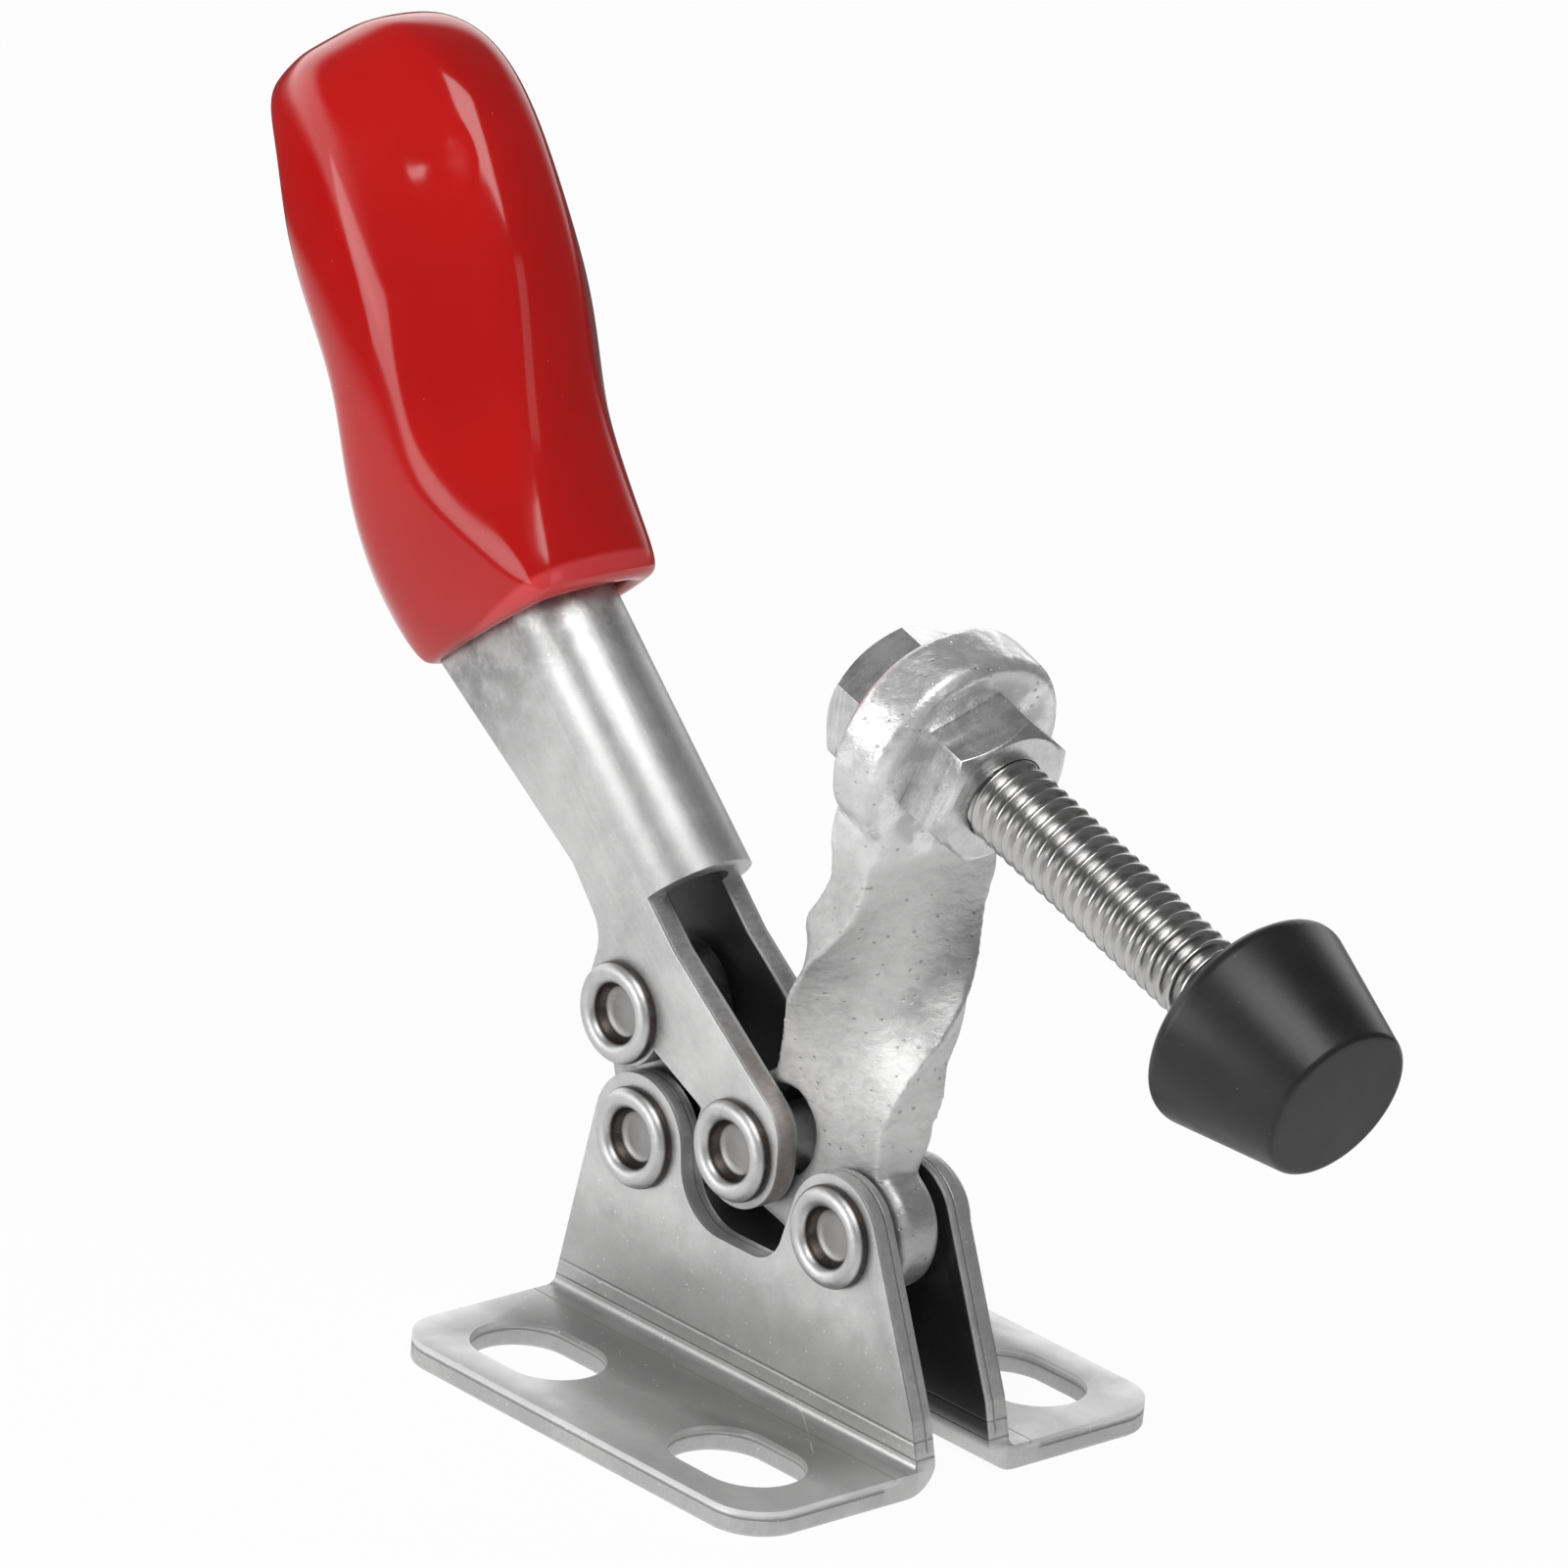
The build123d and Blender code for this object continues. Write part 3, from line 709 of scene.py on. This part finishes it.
def handle_channel():
    """Folded channel with its outer edges rolled a little less than the base's."""
    piece = solid_copy("handle", "handle_channel")
    roll_edges(piece, on_cheek, HANDLE_EDGE, 3)
    break_edges(piece, CUT_EDGE, 2, SHEET_CORNER)
    smooth(piece, SHEET_SMOOTH)
    dress(piece, "handle", "lever", "plated_steel", HANDLE_SHEET)


def link_bar():
    """Solid bar with its edges tumbled round."""
    piece = solid_copy("toggle_link", "link_bar")
    break_edges(piece, LINK_EDGE, 3)
    smooth(piece, 35.0)
    dress(piece, "toggle_link", "link", "plated_steel", LINK_SHEET)


# --------------------------------------------------------------------------
# Rivets
# --------------------------------------------------------------------------

ROLL_INNER_R = 1.38
ROLL_OUTER_R = 2.365
ROLL_TOP = 3.5
ROLL_STEPS = 12
RECESS_FLOOR = 2.6
SHANK_R = 1.5
HEAD_R = 2.5
HEAD_TOP = -3.6
HEAD_RIM = 0.3
HEAD_STEPS = 7
RIVET_TURN = 50.0


def rivet_rings():
    """Profile of a semi-tubular rivet: recess floor, rolled rim, shank, low factory head."""
    rings = [(0.3, RECESS_FLOOR + 0.03), (0.8, RECESS_FLOOR), (1.08, RECESS_FLOOR + 0.04)]
    rings += [(1.22, RECESS_FLOOR + 0.14), (1.3, RECESS_FLOOR + 0.3)]
    middle = (ROLL_INNER_R + ROLL_OUTER_R) / 2
    half = (ROLL_OUTER_R - ROLL_INNER_R) / 2
    for step in range(ROLL_STEPS + 1):
        turn = math.pi * (step / ROLL_STEPS * 1.12 - 0.02)
        height = ROLL_TOP - half + half * math.sin(turn)
        rings.append((middle - half * math.cos(turn), height))
    rings += [(ROLL_OUTER_R - 0.12, WALL_OUTER), (SHANK_R, WALL_OUTER), (SHANK_R, -WALL_OUTER)]
    rings += [(HEAD_R - 0.08, -WALL_OUTER), (HEAD_R, -WALL_OUTER - 0.1)]
    rings.append((HEAD_R - 0.02, -WALL_OUTER - HEAD_RIM))
    reach = HEAD_TOP + WALL_OUTER + HEAD_RIM
    for step in range(1, HEAD_STEPS):
        turn = math.pi / 2 * step / HEAD_STEPS
        radius = 0.6 + (HEAD_R - 0.62) * math.cos(turn)
        rings.append((radius, -WALL_OUTER - HEAD_RIM + reach * math.sin(turn)))
    rings.append((0.5, HEAD_TOP))
    return rings


def rivets():
    """One rivet is turned, and each place gets its own copy of it, turned a little."""
    model = turned_piece("rivet_model", rivet_rings(), 64)
    face_outwards(model)
    smooth(model, 50.0)
    for number, (node, (x, z, body)) in enumerate(RIVETS.items()):
        piece = bpy.data.objects.new(node + "_rolled", model.data.copy())
        bpy.context.scene.collection.objects.link(piece)
        spin = Matrix.Rotation(math.radians(RIVET_TURN * number), 4, "Z")
        ahead = Vector((1.0, 0.0, 0.0))
        across = frame_matrix(Vector((x, 0.0, z)), ahead, Vector((0.0, -1.0, 0.0)))
        settle(piece, across @ spin)
        dress(piece, node, body, "fastener_steel", RIVET_STEEL)
    bpy.data.objects.remove(model)


# --------------------------------------------------------------------------
# Arm
# --------------------------------------------------------------------------


def hammered(name, size, depth):
    """Cloud pattern for the uneven skin of a forging."""
    clouds = bpy.data.textures.new(name, "CLOUDS")
    clouds.noise_scale = size * MM
    clouds.noise_depth = depth
    return clouds


ARM_VOXEL = 0.13
ARM_WEAR = 14

# The forging's uneven skin: name, size and depth of the clouds, and height of the dents
ARM_DENTS = [
    ("broad_dents", 2.6, 1, 0.13),
    ("small_dents", 0.55, 2, 0.03),
]

# Where the forging is fuller or thinner than the plain solid: place, reach and push
ARM_PUSHES = [
    ((7.1, 1.1, 16.1), 2.4, (0.36, 0.42, 0.0)),
    ((6.7, 0.9, 14.3), 1.9, (0.35, 0.30, 0.0)),
    ((3.5, -3.6, 26.5), 3.4, (0.35, 0.38, 0.0)),
    ((1.7, -2.5, 22.0), 2.6, (0.20, 0.20, 0.0)),
    ((6.8, 3.7, 26.7), 2.2, (0.20, 0.22, 0.0)),
]


def twisted_arm():
    """Forged arm: the solid remeshed, its edges worn round and its skin made uneven."""
    piece = solid_copy("clamp_arm", "twisted_arm")
    finish_with(piece, "REMESH", mode="VOXEL", voxel_size=ARM_VOXEL * MM)
    for place, radius, push in ARM_PUSHES:
        press(piece, place, radius, push)
    finish_with(piece, "SMOOTH", factor=0.5, iterations=ARM_WEAR)
    for name, size, depth, height in ARM_DENTS:
        clouds = hammered(name, size, depth)
        finish_with(piece, "DISPLACE", texture=clouds, strength=height * MM, mid_level=0.5)
    pick(piece)
    bpy.ops.object.shade_smooth()
    dress(piece, "clamp_arm", "arm", "forged_steel", ARM_STEEL)


# --------------------------------------------------------------------------
# Spindle
# --------------------------------------------------------------------------

THREAD_PITCH = 0.7
THREAD_CREST_R = 2.0
THREAD_ROOT_R = 1.62
THREAD_STEPS = 10
THREAD_SIDES = 56
HEX_EDGE = 0.16
HEX_CORNER = 25.0
HEX_SMOOTH = 40.0


def spindle_frame(station):
    """Matrix of a place on the spindle's axis, that many millimetres ahead of the eye."""
    origin = EYE_CENTRE + SPINDLE_AHEAD * station
    return frame_matrix(origin, Vector((0.0, 1.0, 0.0)), SPINDLE_AHEAD)


def thread_radius(share):
    """Radius at a share of the pitch: a broad rounded crest and a narrower root."""
    wave = (1 + math.cos(2 * math.pi * share)) / 2
    return THREAD_ROOT_R + (THREAD_CREST_R - THREAD_ROOT_R) * wave**0.75


def threaded_shank():
    """One pitch of the profile, screwed along the axis and closed at both ends."""
    length = BOLT_TIP - HEAD_SEAT
    turns = int(length / THREAD_PITCH)
    pick_nothing()
    bpy.ops.mesh.primitive_plane_add(size=MM, location=(thread_radius(0.0) * MM, 0.0, 0.0))
    shank = bpy.context.object
    shank.name = "threaded_shank"
    bpy.ops.object.transform_apply(location=True)
    bpy.ops.object.mode_set(mode="EDIT")
    bpy.ops.mesh.select_all(action="SELECT")
    bpy.ops.mesh.merge(type="CENTER")
    rise = THREAD_PITCH / THREAD_STEPS
    for step in range(THREAD_STEPS):
        out = thread_radius((step + 1) / THREAD_STEPS) - thread_radius(step / THREAD_STEPS)
        move = {"value": (out * MM, 0.0, rise * MM)}
        bpy.ops.mesh.extrude_region_move(TRANSFORM_OT_translate=move)
    leave()
    finish_with(
        shank,
        "SCREW",
        axis="Z",
        angle=2 * math.pi,
        steps=THREAD_SIDES,
        render_steps=THREAD_SIDES,
        screw_offset=THREAD_PITCH * MM,
        iterations=turns,
        use_merge_vertices=True,
        merge_threshold=1e-7,
    )
    for low_end in (True, False):
        close_end(shank, low_end)
    face_outwards(shank)
    smooth(shank, 50.0)
    settle(shank, spindle_frame(HEAD_SEAT))
    return shank


def close_end(shank, low_end):
    """Fills the open loop at one end of the thread."""
    edit(shank, "EDGE")
    bpy.ops.mesh.select_all(action="DESELECT")
    bpy.ops.mesh.select_non_manifold()
    leave()
    middle = max(vertex.co.z for vertex in shank.data.vertices) / MM / 2

    def at_this_end(place):
        return (place.z < middle) == low_end

    edit_edges(shank, at_this_end)
    bpy.ops.mesh.edge_face_add()
    leave()


def spindle_screw():
    """Hexagon head cut off the plain solid and joined to a real thread."""
    head = solid_copy("spindle_bolt", "spindle_screw")
    edit(head)
    bpy.ops.mesh.select_all(action="SELECT")
    cut = EYE_CENTRE + SPINDLE_AHEAD * (HEAD_SEAT - TOUCH)
    bpy.ops.mesh.bisect(
        plane_co=cut * MM, plane_no=SPINDLE_AHEAD, use_fill=True, clear_outer=True
    )
    leave()
    break_edges(head, HEX_EDGE, 3, HEX_CORNER)
    smooth(head, HEX_SMOOTH)
    head.data.materials.clear()
    head.data.materials.append(HEX_STEEL)
    shank = threaded_shank()
    shank.data.materials.append(THREAD_STEEL)
    pick(head)
    shank.select_set(True)
    bpy.ops.object.join()
    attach(head, "arm")
    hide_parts("spindle_bolt")


def lock_nut():
    """Nut with its corners and edges worn round like the head's."""
    piece = solid_copy("spindle_nut", "lock_nut")
    break_edges(piece, HEX_EDGE, 3, HEX_CORNER)
    smooth(piece, HEX_SMOOTH)
    dress(piece, "spindle_nut", "arm", "fastener_steel", HEX_STEEL)


CAP_REAR_R = 5.36
CAP_FRONT_R = 3.56
CAP_BORE_R = 2.05
CAP_BORE_ROOM = 0.05
CAP_EDGE = 0.14


def spindle_cap():
    """Rubber cap: blind bore, soft lip round the spindle, rear rim, cone and flat face."""
    length = CAP_FRONT - CAP_REAR
    bore = BOLT_TIP + CAP_BORE_ROOM - CAP_REAR
    rings = [
        (0.4, bore),
        (CAP_BORE_R, bore),
        (CAP_BORE_R, 0.45),
        (CAP_BORE_R + 0.25, 0.12),
        (CAP_BORE_R + 0.7, 0.0),
        (CAP_REAR_R - 0.6, 0.0),
        (CAP_REAR_R - 0.12, 0.42),
        (CAP_REAR_R - 0.06, 0.75),
        (CAP_FRONT_R + 0.12, length - 0.16),
        (CAP_FRONT_R - 0.22, length),
        (0.5, length),
    ]
    piece = turned_piece("spindle_cap", rings, 96)
    face_outwards(piece)
    break_edges(piece, CAP_EDGE, 3, 20.0)
    smooth(piece, 50.0)
    settle(piece, spindle_frame(CAP_REAR))
    dress(piece, "rubber_cap", "arm", "cap_rubber", RUBBER)


# --------------------------------------------------------------------------
# Grip
# --------------------------------------------------------------------------

GRIP_CORNER = 0.3
GRIP_ROUND = 0.2
NOSE_ROUND = 1.0
MOUTH_TILT = -10.0
MOUTH_TOP = 16.0
MOUTH_MIDDLE = (-4.3, 15.2)

# Dent in the front of the sleeve: place (front, side, along), reach and push
GRIP_DENT = ((7.4, -3.4, 33.0), 2.2, (-0.22, 0.2, 0.0))
POCKET_END = (34.4, 0.15, 5.3, 2.95, 1.0)

# Sleeve sections, inside first, then the lip and outwards: distance along the handle,
# front, rear, half width, and how much of each flat side is left between the corners
GRIP_RINGS = [
    (15.6, 0.15, 8.75, 2.95, 1.0),
    (15.25, 0.25, 8.8, 3.05, 1.0),
    (15.0, 0.75, 9.1, 3.4, 1.0),
    (15.1, 1.3, 9.55, 3.95, 1.0),
    (15.6, 1.7, 9.85, 4.3, 0.97),
    (17.4, 2.4, 10.3, 5.0, 0.80),
    (20.0, 3.3, 10.9, 5.8, 0.64),
    (22.6, 4.5, 10.9, 6.2, 0.54),
    (25.2, 6.2, 9.9, 6.4, 0.50),
    (28.0, 7.6, 8.2, 6.5, 0.48),
    (31.5, 8.6, 7.6, 6.5, 0.48),
    (35.0, 9.3, 6.8, 6.4, 0.48),
    (38.2, 8.9, 4.5, 5.9, 0.50),
    (40.8, 7.0, 3.6, 4.8, 0.55),
    (42.2, 4.2, 3.2, 3.2, 0.58),
    (43.0, 0.4, 2.2, 0.9, 0.60),
]


def grip_sleeve():
    """Sleeve drawn out ring by ring from a square with cut corners, then subdivided smooth."""
    pick_nothing()
    bpy.ops.mesh.primitive_plane_add(size=2 * MM, location=(0.0, 0.0, 0.0))
    piece = bpy.context.object
    piece.name = "vinyl_grip"
    bpy.ops.object.mode_set(mode="EDIT")
    bpy.ops.mesh.select_all(action="SELECT")
    bpy.ops.mesh.bevel(offset=GRIP_CORNER * MM, segments=1, affect="VERTICES")
    bpy.ops.mesh.bevel(offset=GRIP_ROUND * MM, segments=1, affect="VERTICES")
    shape_ring(POCKET_END, (0.0, 0.0, 1.0, 1.0))
    last = ring_box(POCKET_END)
    kept = POCKET_END[-1]
    for ring in GRIP_RINGS:
        bpy.ops.mesh.extrude_region_move(TRANSFORM_OT_translate={"value": (0.0, 0.0, 0.0)})
        shape_ring(ring, last)
        last = ring_box(ring)
        trim_flats(piece, last, ring[-1] / kept)
        kept = ring[-1]
    leave()
    tilt_mouth(piece)
    face_outwards(piece)
    finish_with(piece, "SUBSURF", levels=3, render_levels=3)
    press(piece, *GRIP_DENT)
    pick(piece)
    bpy.ops.object.shade_smooth()
    settle(piece, frame_matrix(WINDOW_END, HANDLE_FRONT, HANDLE_ALONG))
    dress(piece, "handle_grip", "lever", "grip_vinyl", VINYL)


def ring_box(ring):
    """Distance along the handle, middle, half depth and half width of a section."""
    along, front, rear, half = ring[:4]
    return (along, (front - rear) / 2, (front + rear) / 2, half)


def shape_ring(ring, last):
    """Moves and resizes the picked ring from the last section's box to this one's."""
    along, middle, depth, half = ring_box(ring)
    before, middle_before, depth_before, half_before = last
    bpy.ops.transform.translate(value=((middle - middle_before) * MM, 0.0, (along - before) * MM))
    ratios = (depth / depth_before, half / half_before, 1.0)
    bpy.ops.transform.resize(value=ratios, center_override=(middle * MM, 0.0, along * MM))


def trim_flats(piece, box, ratio):
    """Shortens the flat sides of the picked ring, front and rear first, then the two sides."""
    along, middle, depth, half = box
    centre = (middle * MM, 0.0, along * MM)
    leave()
    ring = [vertex.index for vertex in piece.data.vertices if vertex.select]
    for front_and_rear in (True, False):
        flats = []
        for index in ring:
            place = piece.data.vertices[index].co / MM
            toward_front = abs(place.x - middle) / depth > abs(place.y) / half
            if toward_front == front_and_rear:
                flats.append(index)
        pick_points(piece, flats)
        edit(piece)
        value = (1.0, ratio**NOSE_ROUND, 1.0) if front_and_rear else (ratio, 1.0, 1.0)
        bpy.ops.transform.resize(value=value, center_override=centre)
        leave()
    pick_points(piece, ring)
    edit(piece)


def tilt_mouth(piece):
    """Turns the lip so that it reaches lower at the front of the handle."""
    low = [vertex.index for vertex in piece.data.vertices if vertex.co.z < MOUTH_TOP * MM]
    pick_points(piece, low)
    edit(piece)
    front, along = MOUTH_MIDDLE
    bpy.ops.transform.rotate(
        value=math.radians(MOUTH_TILT),
        orient_axis="Y",
        center_override=(front * MM, 0.0, along * MM),
    )
    leave()


BASE_SHEET = base_sheet()
HANDLE_SHEET = handle_sheet()
LINK_SHEET = link_sheet()
ARM_STEEL = forged_steel()
RIVET_STEEL = rivet_steel()
HEX_STEEL = hexagon_steel()
THREAD_STEEL = thread_steel()
RUBBER = cap_rubber()
VINYL = grip_vinyl()

base_plate("base_plate_right", "base_plate_near")
base_plate("base_plate_left", "base_plate_far")
handle_channel()
link_bar()
rivets()
twisted_arm()
spindle_screw()
lock_nut()
spindle_cap()
grip_sleeve()

# --------------------------------------------------------------------------
# Camera, floor and light
# --------------------------------------------------------------------------

IMAGE_SIDE = 1601
VIEW_AZIMUTH = math.radians(46.704)
VIEW_HEIGHT = math.radians(20.075)
VIEW_ROLL = math.radians(4.939)
VIEW_DISTANCE = 478.258
FOCAL_PIXELS = math.exp(9.295)
SIDE_STEP = -0.342
UP_STEP = -27.101
SENSOR = 36.0

# Studio, in metres: the floor's whiteness, its glow in reflections out to the table's edge and
# its darkness beyond, then the low bright sweep and the darker room
CLAMP_MIDDLE = Vector((0.0, 0.0, 0.028))
FLOOR_SIZE = 1.4
FLOOR_WHITE = 0.95
FLOOR_GLOW = 0.72
TABLE_EDGE = (0.125, 0.16)
BEYOND_DARK = 0.85
SWEEP_TOP = (0.35, 0.6)
SWEEP_LIGHT = 1.7
ROOM_LIGHT = 0.17

# Lamps: direction from the clamp, distance, width, height and radiance
LAMPS = {
    "overhead_box": ((0.42, -0.36, 0.82), 0.55, 0.34, 0.34, 4.8),
    "left_strip": ((-0.18, -0.97, 0.10), 0.25, 0.15, 0.105, 2.8),
    "right_box": ((0.95, -0.1, 0.30), 0.6, 0.2, 0.25, 0.8),
}


def place_camera():
    back = Vector(
        (
            math.sin(VIEW_AZIMUTH) * math.cos(VIEW_HEIGHT),
            -math.cos(VIEW_AZIMUTH) * math.cos(VIEW_HEIGHT),
            math.sin(VIEW_HEIGHT),
        )
    )
    level = Vector((math.cos(VIEW_AZIMUTH), math.sin(VIEW_AZIMUTH), 0.0))
    upright = back.cross(level)
    right = level * math.cos(VIEW_ROLL) + upright * math.sin(VIEW_ROLL)
    up = upright * math.cos(VIEW_ROLL) - level * math.sin(VIEW_ROLL)
    seat = (back * VIEW_DISTANCE - right * SIDE_STEP - up * UP_STEP) * MM
    bpy.ops.object.camera_add()
    camera = bpy.context.object
    camera.data.sensor_width = SENSOR
    camera.data.lens = FOCAL_PIXELS * SENSOR / IMAGE_SIDE
    camera.data.clip_start = 0.01
    camera.data.clip_end = 20.0
    turn = Matrix((right, up, back)).transposed()
    camera.matrix_world = Matrix.Translation(seat) @ turn.to_4x4()
    bpy.context.scene.camera = camera


def softbox(name, direction, distance, width, height, radiance):
    """Rectangular lamp in a direction from the clamp's middle, with its brightness as seen."""
    bpy.ops.object.light_add(type="AREA")
    lamp = bpy.context.object
    lamp.name = name
    lamp.data.shape = "RECTANGLE"
    lamp.data.size = width
    lamp.data.size_y = height
    lamp.data.energy = radiance * math.pi * width * height
    away = Vector(direction).normalized()
    lamp.rotation_mode = "QUATERNION"
    lamp.rotation_quaternion = away.to_track_quat("Z", "Y")
    lamp.location = CLAMP_MIDDLE + away * distance
    lamp.visible_camera = False


def floor():
    """Pale sweep that stays white to the eye and in reflections, with a soft shadow."""
    pick_nothing()
    bpy.ops.mesh.primitive_plane_add(size=FLOOR_SIZE, location=(0.0, 0.0, 0.0))
    ground = bpy.context.object
    ground.name = "pale_floor"
    paint = Paint("floor_white", Roughness=0.9, Specular_IOR_Level=0.0)
    tone = paint.noise(paint.stretched(), 0.004, 2.0, 0.5)
    paint.set("Base Color", paint.mix(tone, grey(0.90), grey(0.94)))
    seen = paint.node("ShaderNodeLightPath", {}, {}, "Is Camera Ray")
    glossy = paint.node("ShaderNodeLightPath", {}, {}, "Is Glossy Ray")
    white = paint.node("ShaderNodeEmission", {}, {"Color": grey(1.0), "Strength": 1.0})
    black = paint.node("ShaderNodeEmission", {}, {"Color": grey(0.0), "Strength": 0.0})
    table = paint.span("LENGTH", paint.place).fall(*TABLE_EDGE)
    share = (seen * FLOOR_WHITE).high(glossy * table * FLOOR_GLOW)
    body = Wire(paint, paint.shader.outputs[0])
    beyond = glossy * (1.0 - table) * BEYOND_DARK
    lit = paint.node("ShaderNodeMixShader", {}, {0: beyond, 1: body, 2: black})
    mixed = paint.node("ShaderNodeMixShader", {}, {0: share, 1: lit, 2: white})
    paint.fill(paint.tree.nodes["Material Output"].inputs["Surface"], mixed)
    ground.data.materials.append(paint.material)


def surround():
    """White to the eye; as light, a pale sweep low down under a darker room."""
    world = bpy.data.worlds.new("studio")
    bpy.context.scene.world = world
    world.use_nodes = True
    board = Board(world.node_tree)
    direction = board.node("ShaderNodeTexCoord", {}, {}, "Generated")
    height = board.node("ShaderNodeSeparateXYZ", {}, {"Vector": direction}, 2)
    ahead = board.node("ShaderNodeSeparateXYZ", {}, {"Vector": direction}, 0)
    sweep = ahead.fall(-0.35, 0.25) * height.fall(*SWEEP_TOP) * height.rise(-0.05, 0.05)
    strength = sweep * (SWEEP_LIGHT - ROOM_LIGHT) + ROOM_LIGHT
    room = board.node("ShaderNodeBackground", {}, {"Color": grey(1.0), "Strength": strength})
    white = board.node("ShaderNodeBackground", {}, {"Color": grey(1.0), "Strength": 1.0})
    seen = board.node("ShaderNodeLightPath", {}, {}, "Is Camera Ray")
    mixed = board.node("ShaderNodeMixShader", {}, {0: seen, 1: room, 2: white})
    board.fill(world.node_tree.nodes["World Output"].inputs["Surface"], mixed)


place_camera()
floor()
surround()
for lamp_name, lamp_setting in LAMPS.items():
    softbox(lamp_name, *lamp_setting)

bpy.context.scene.view_settings.view_transform = "Standard"
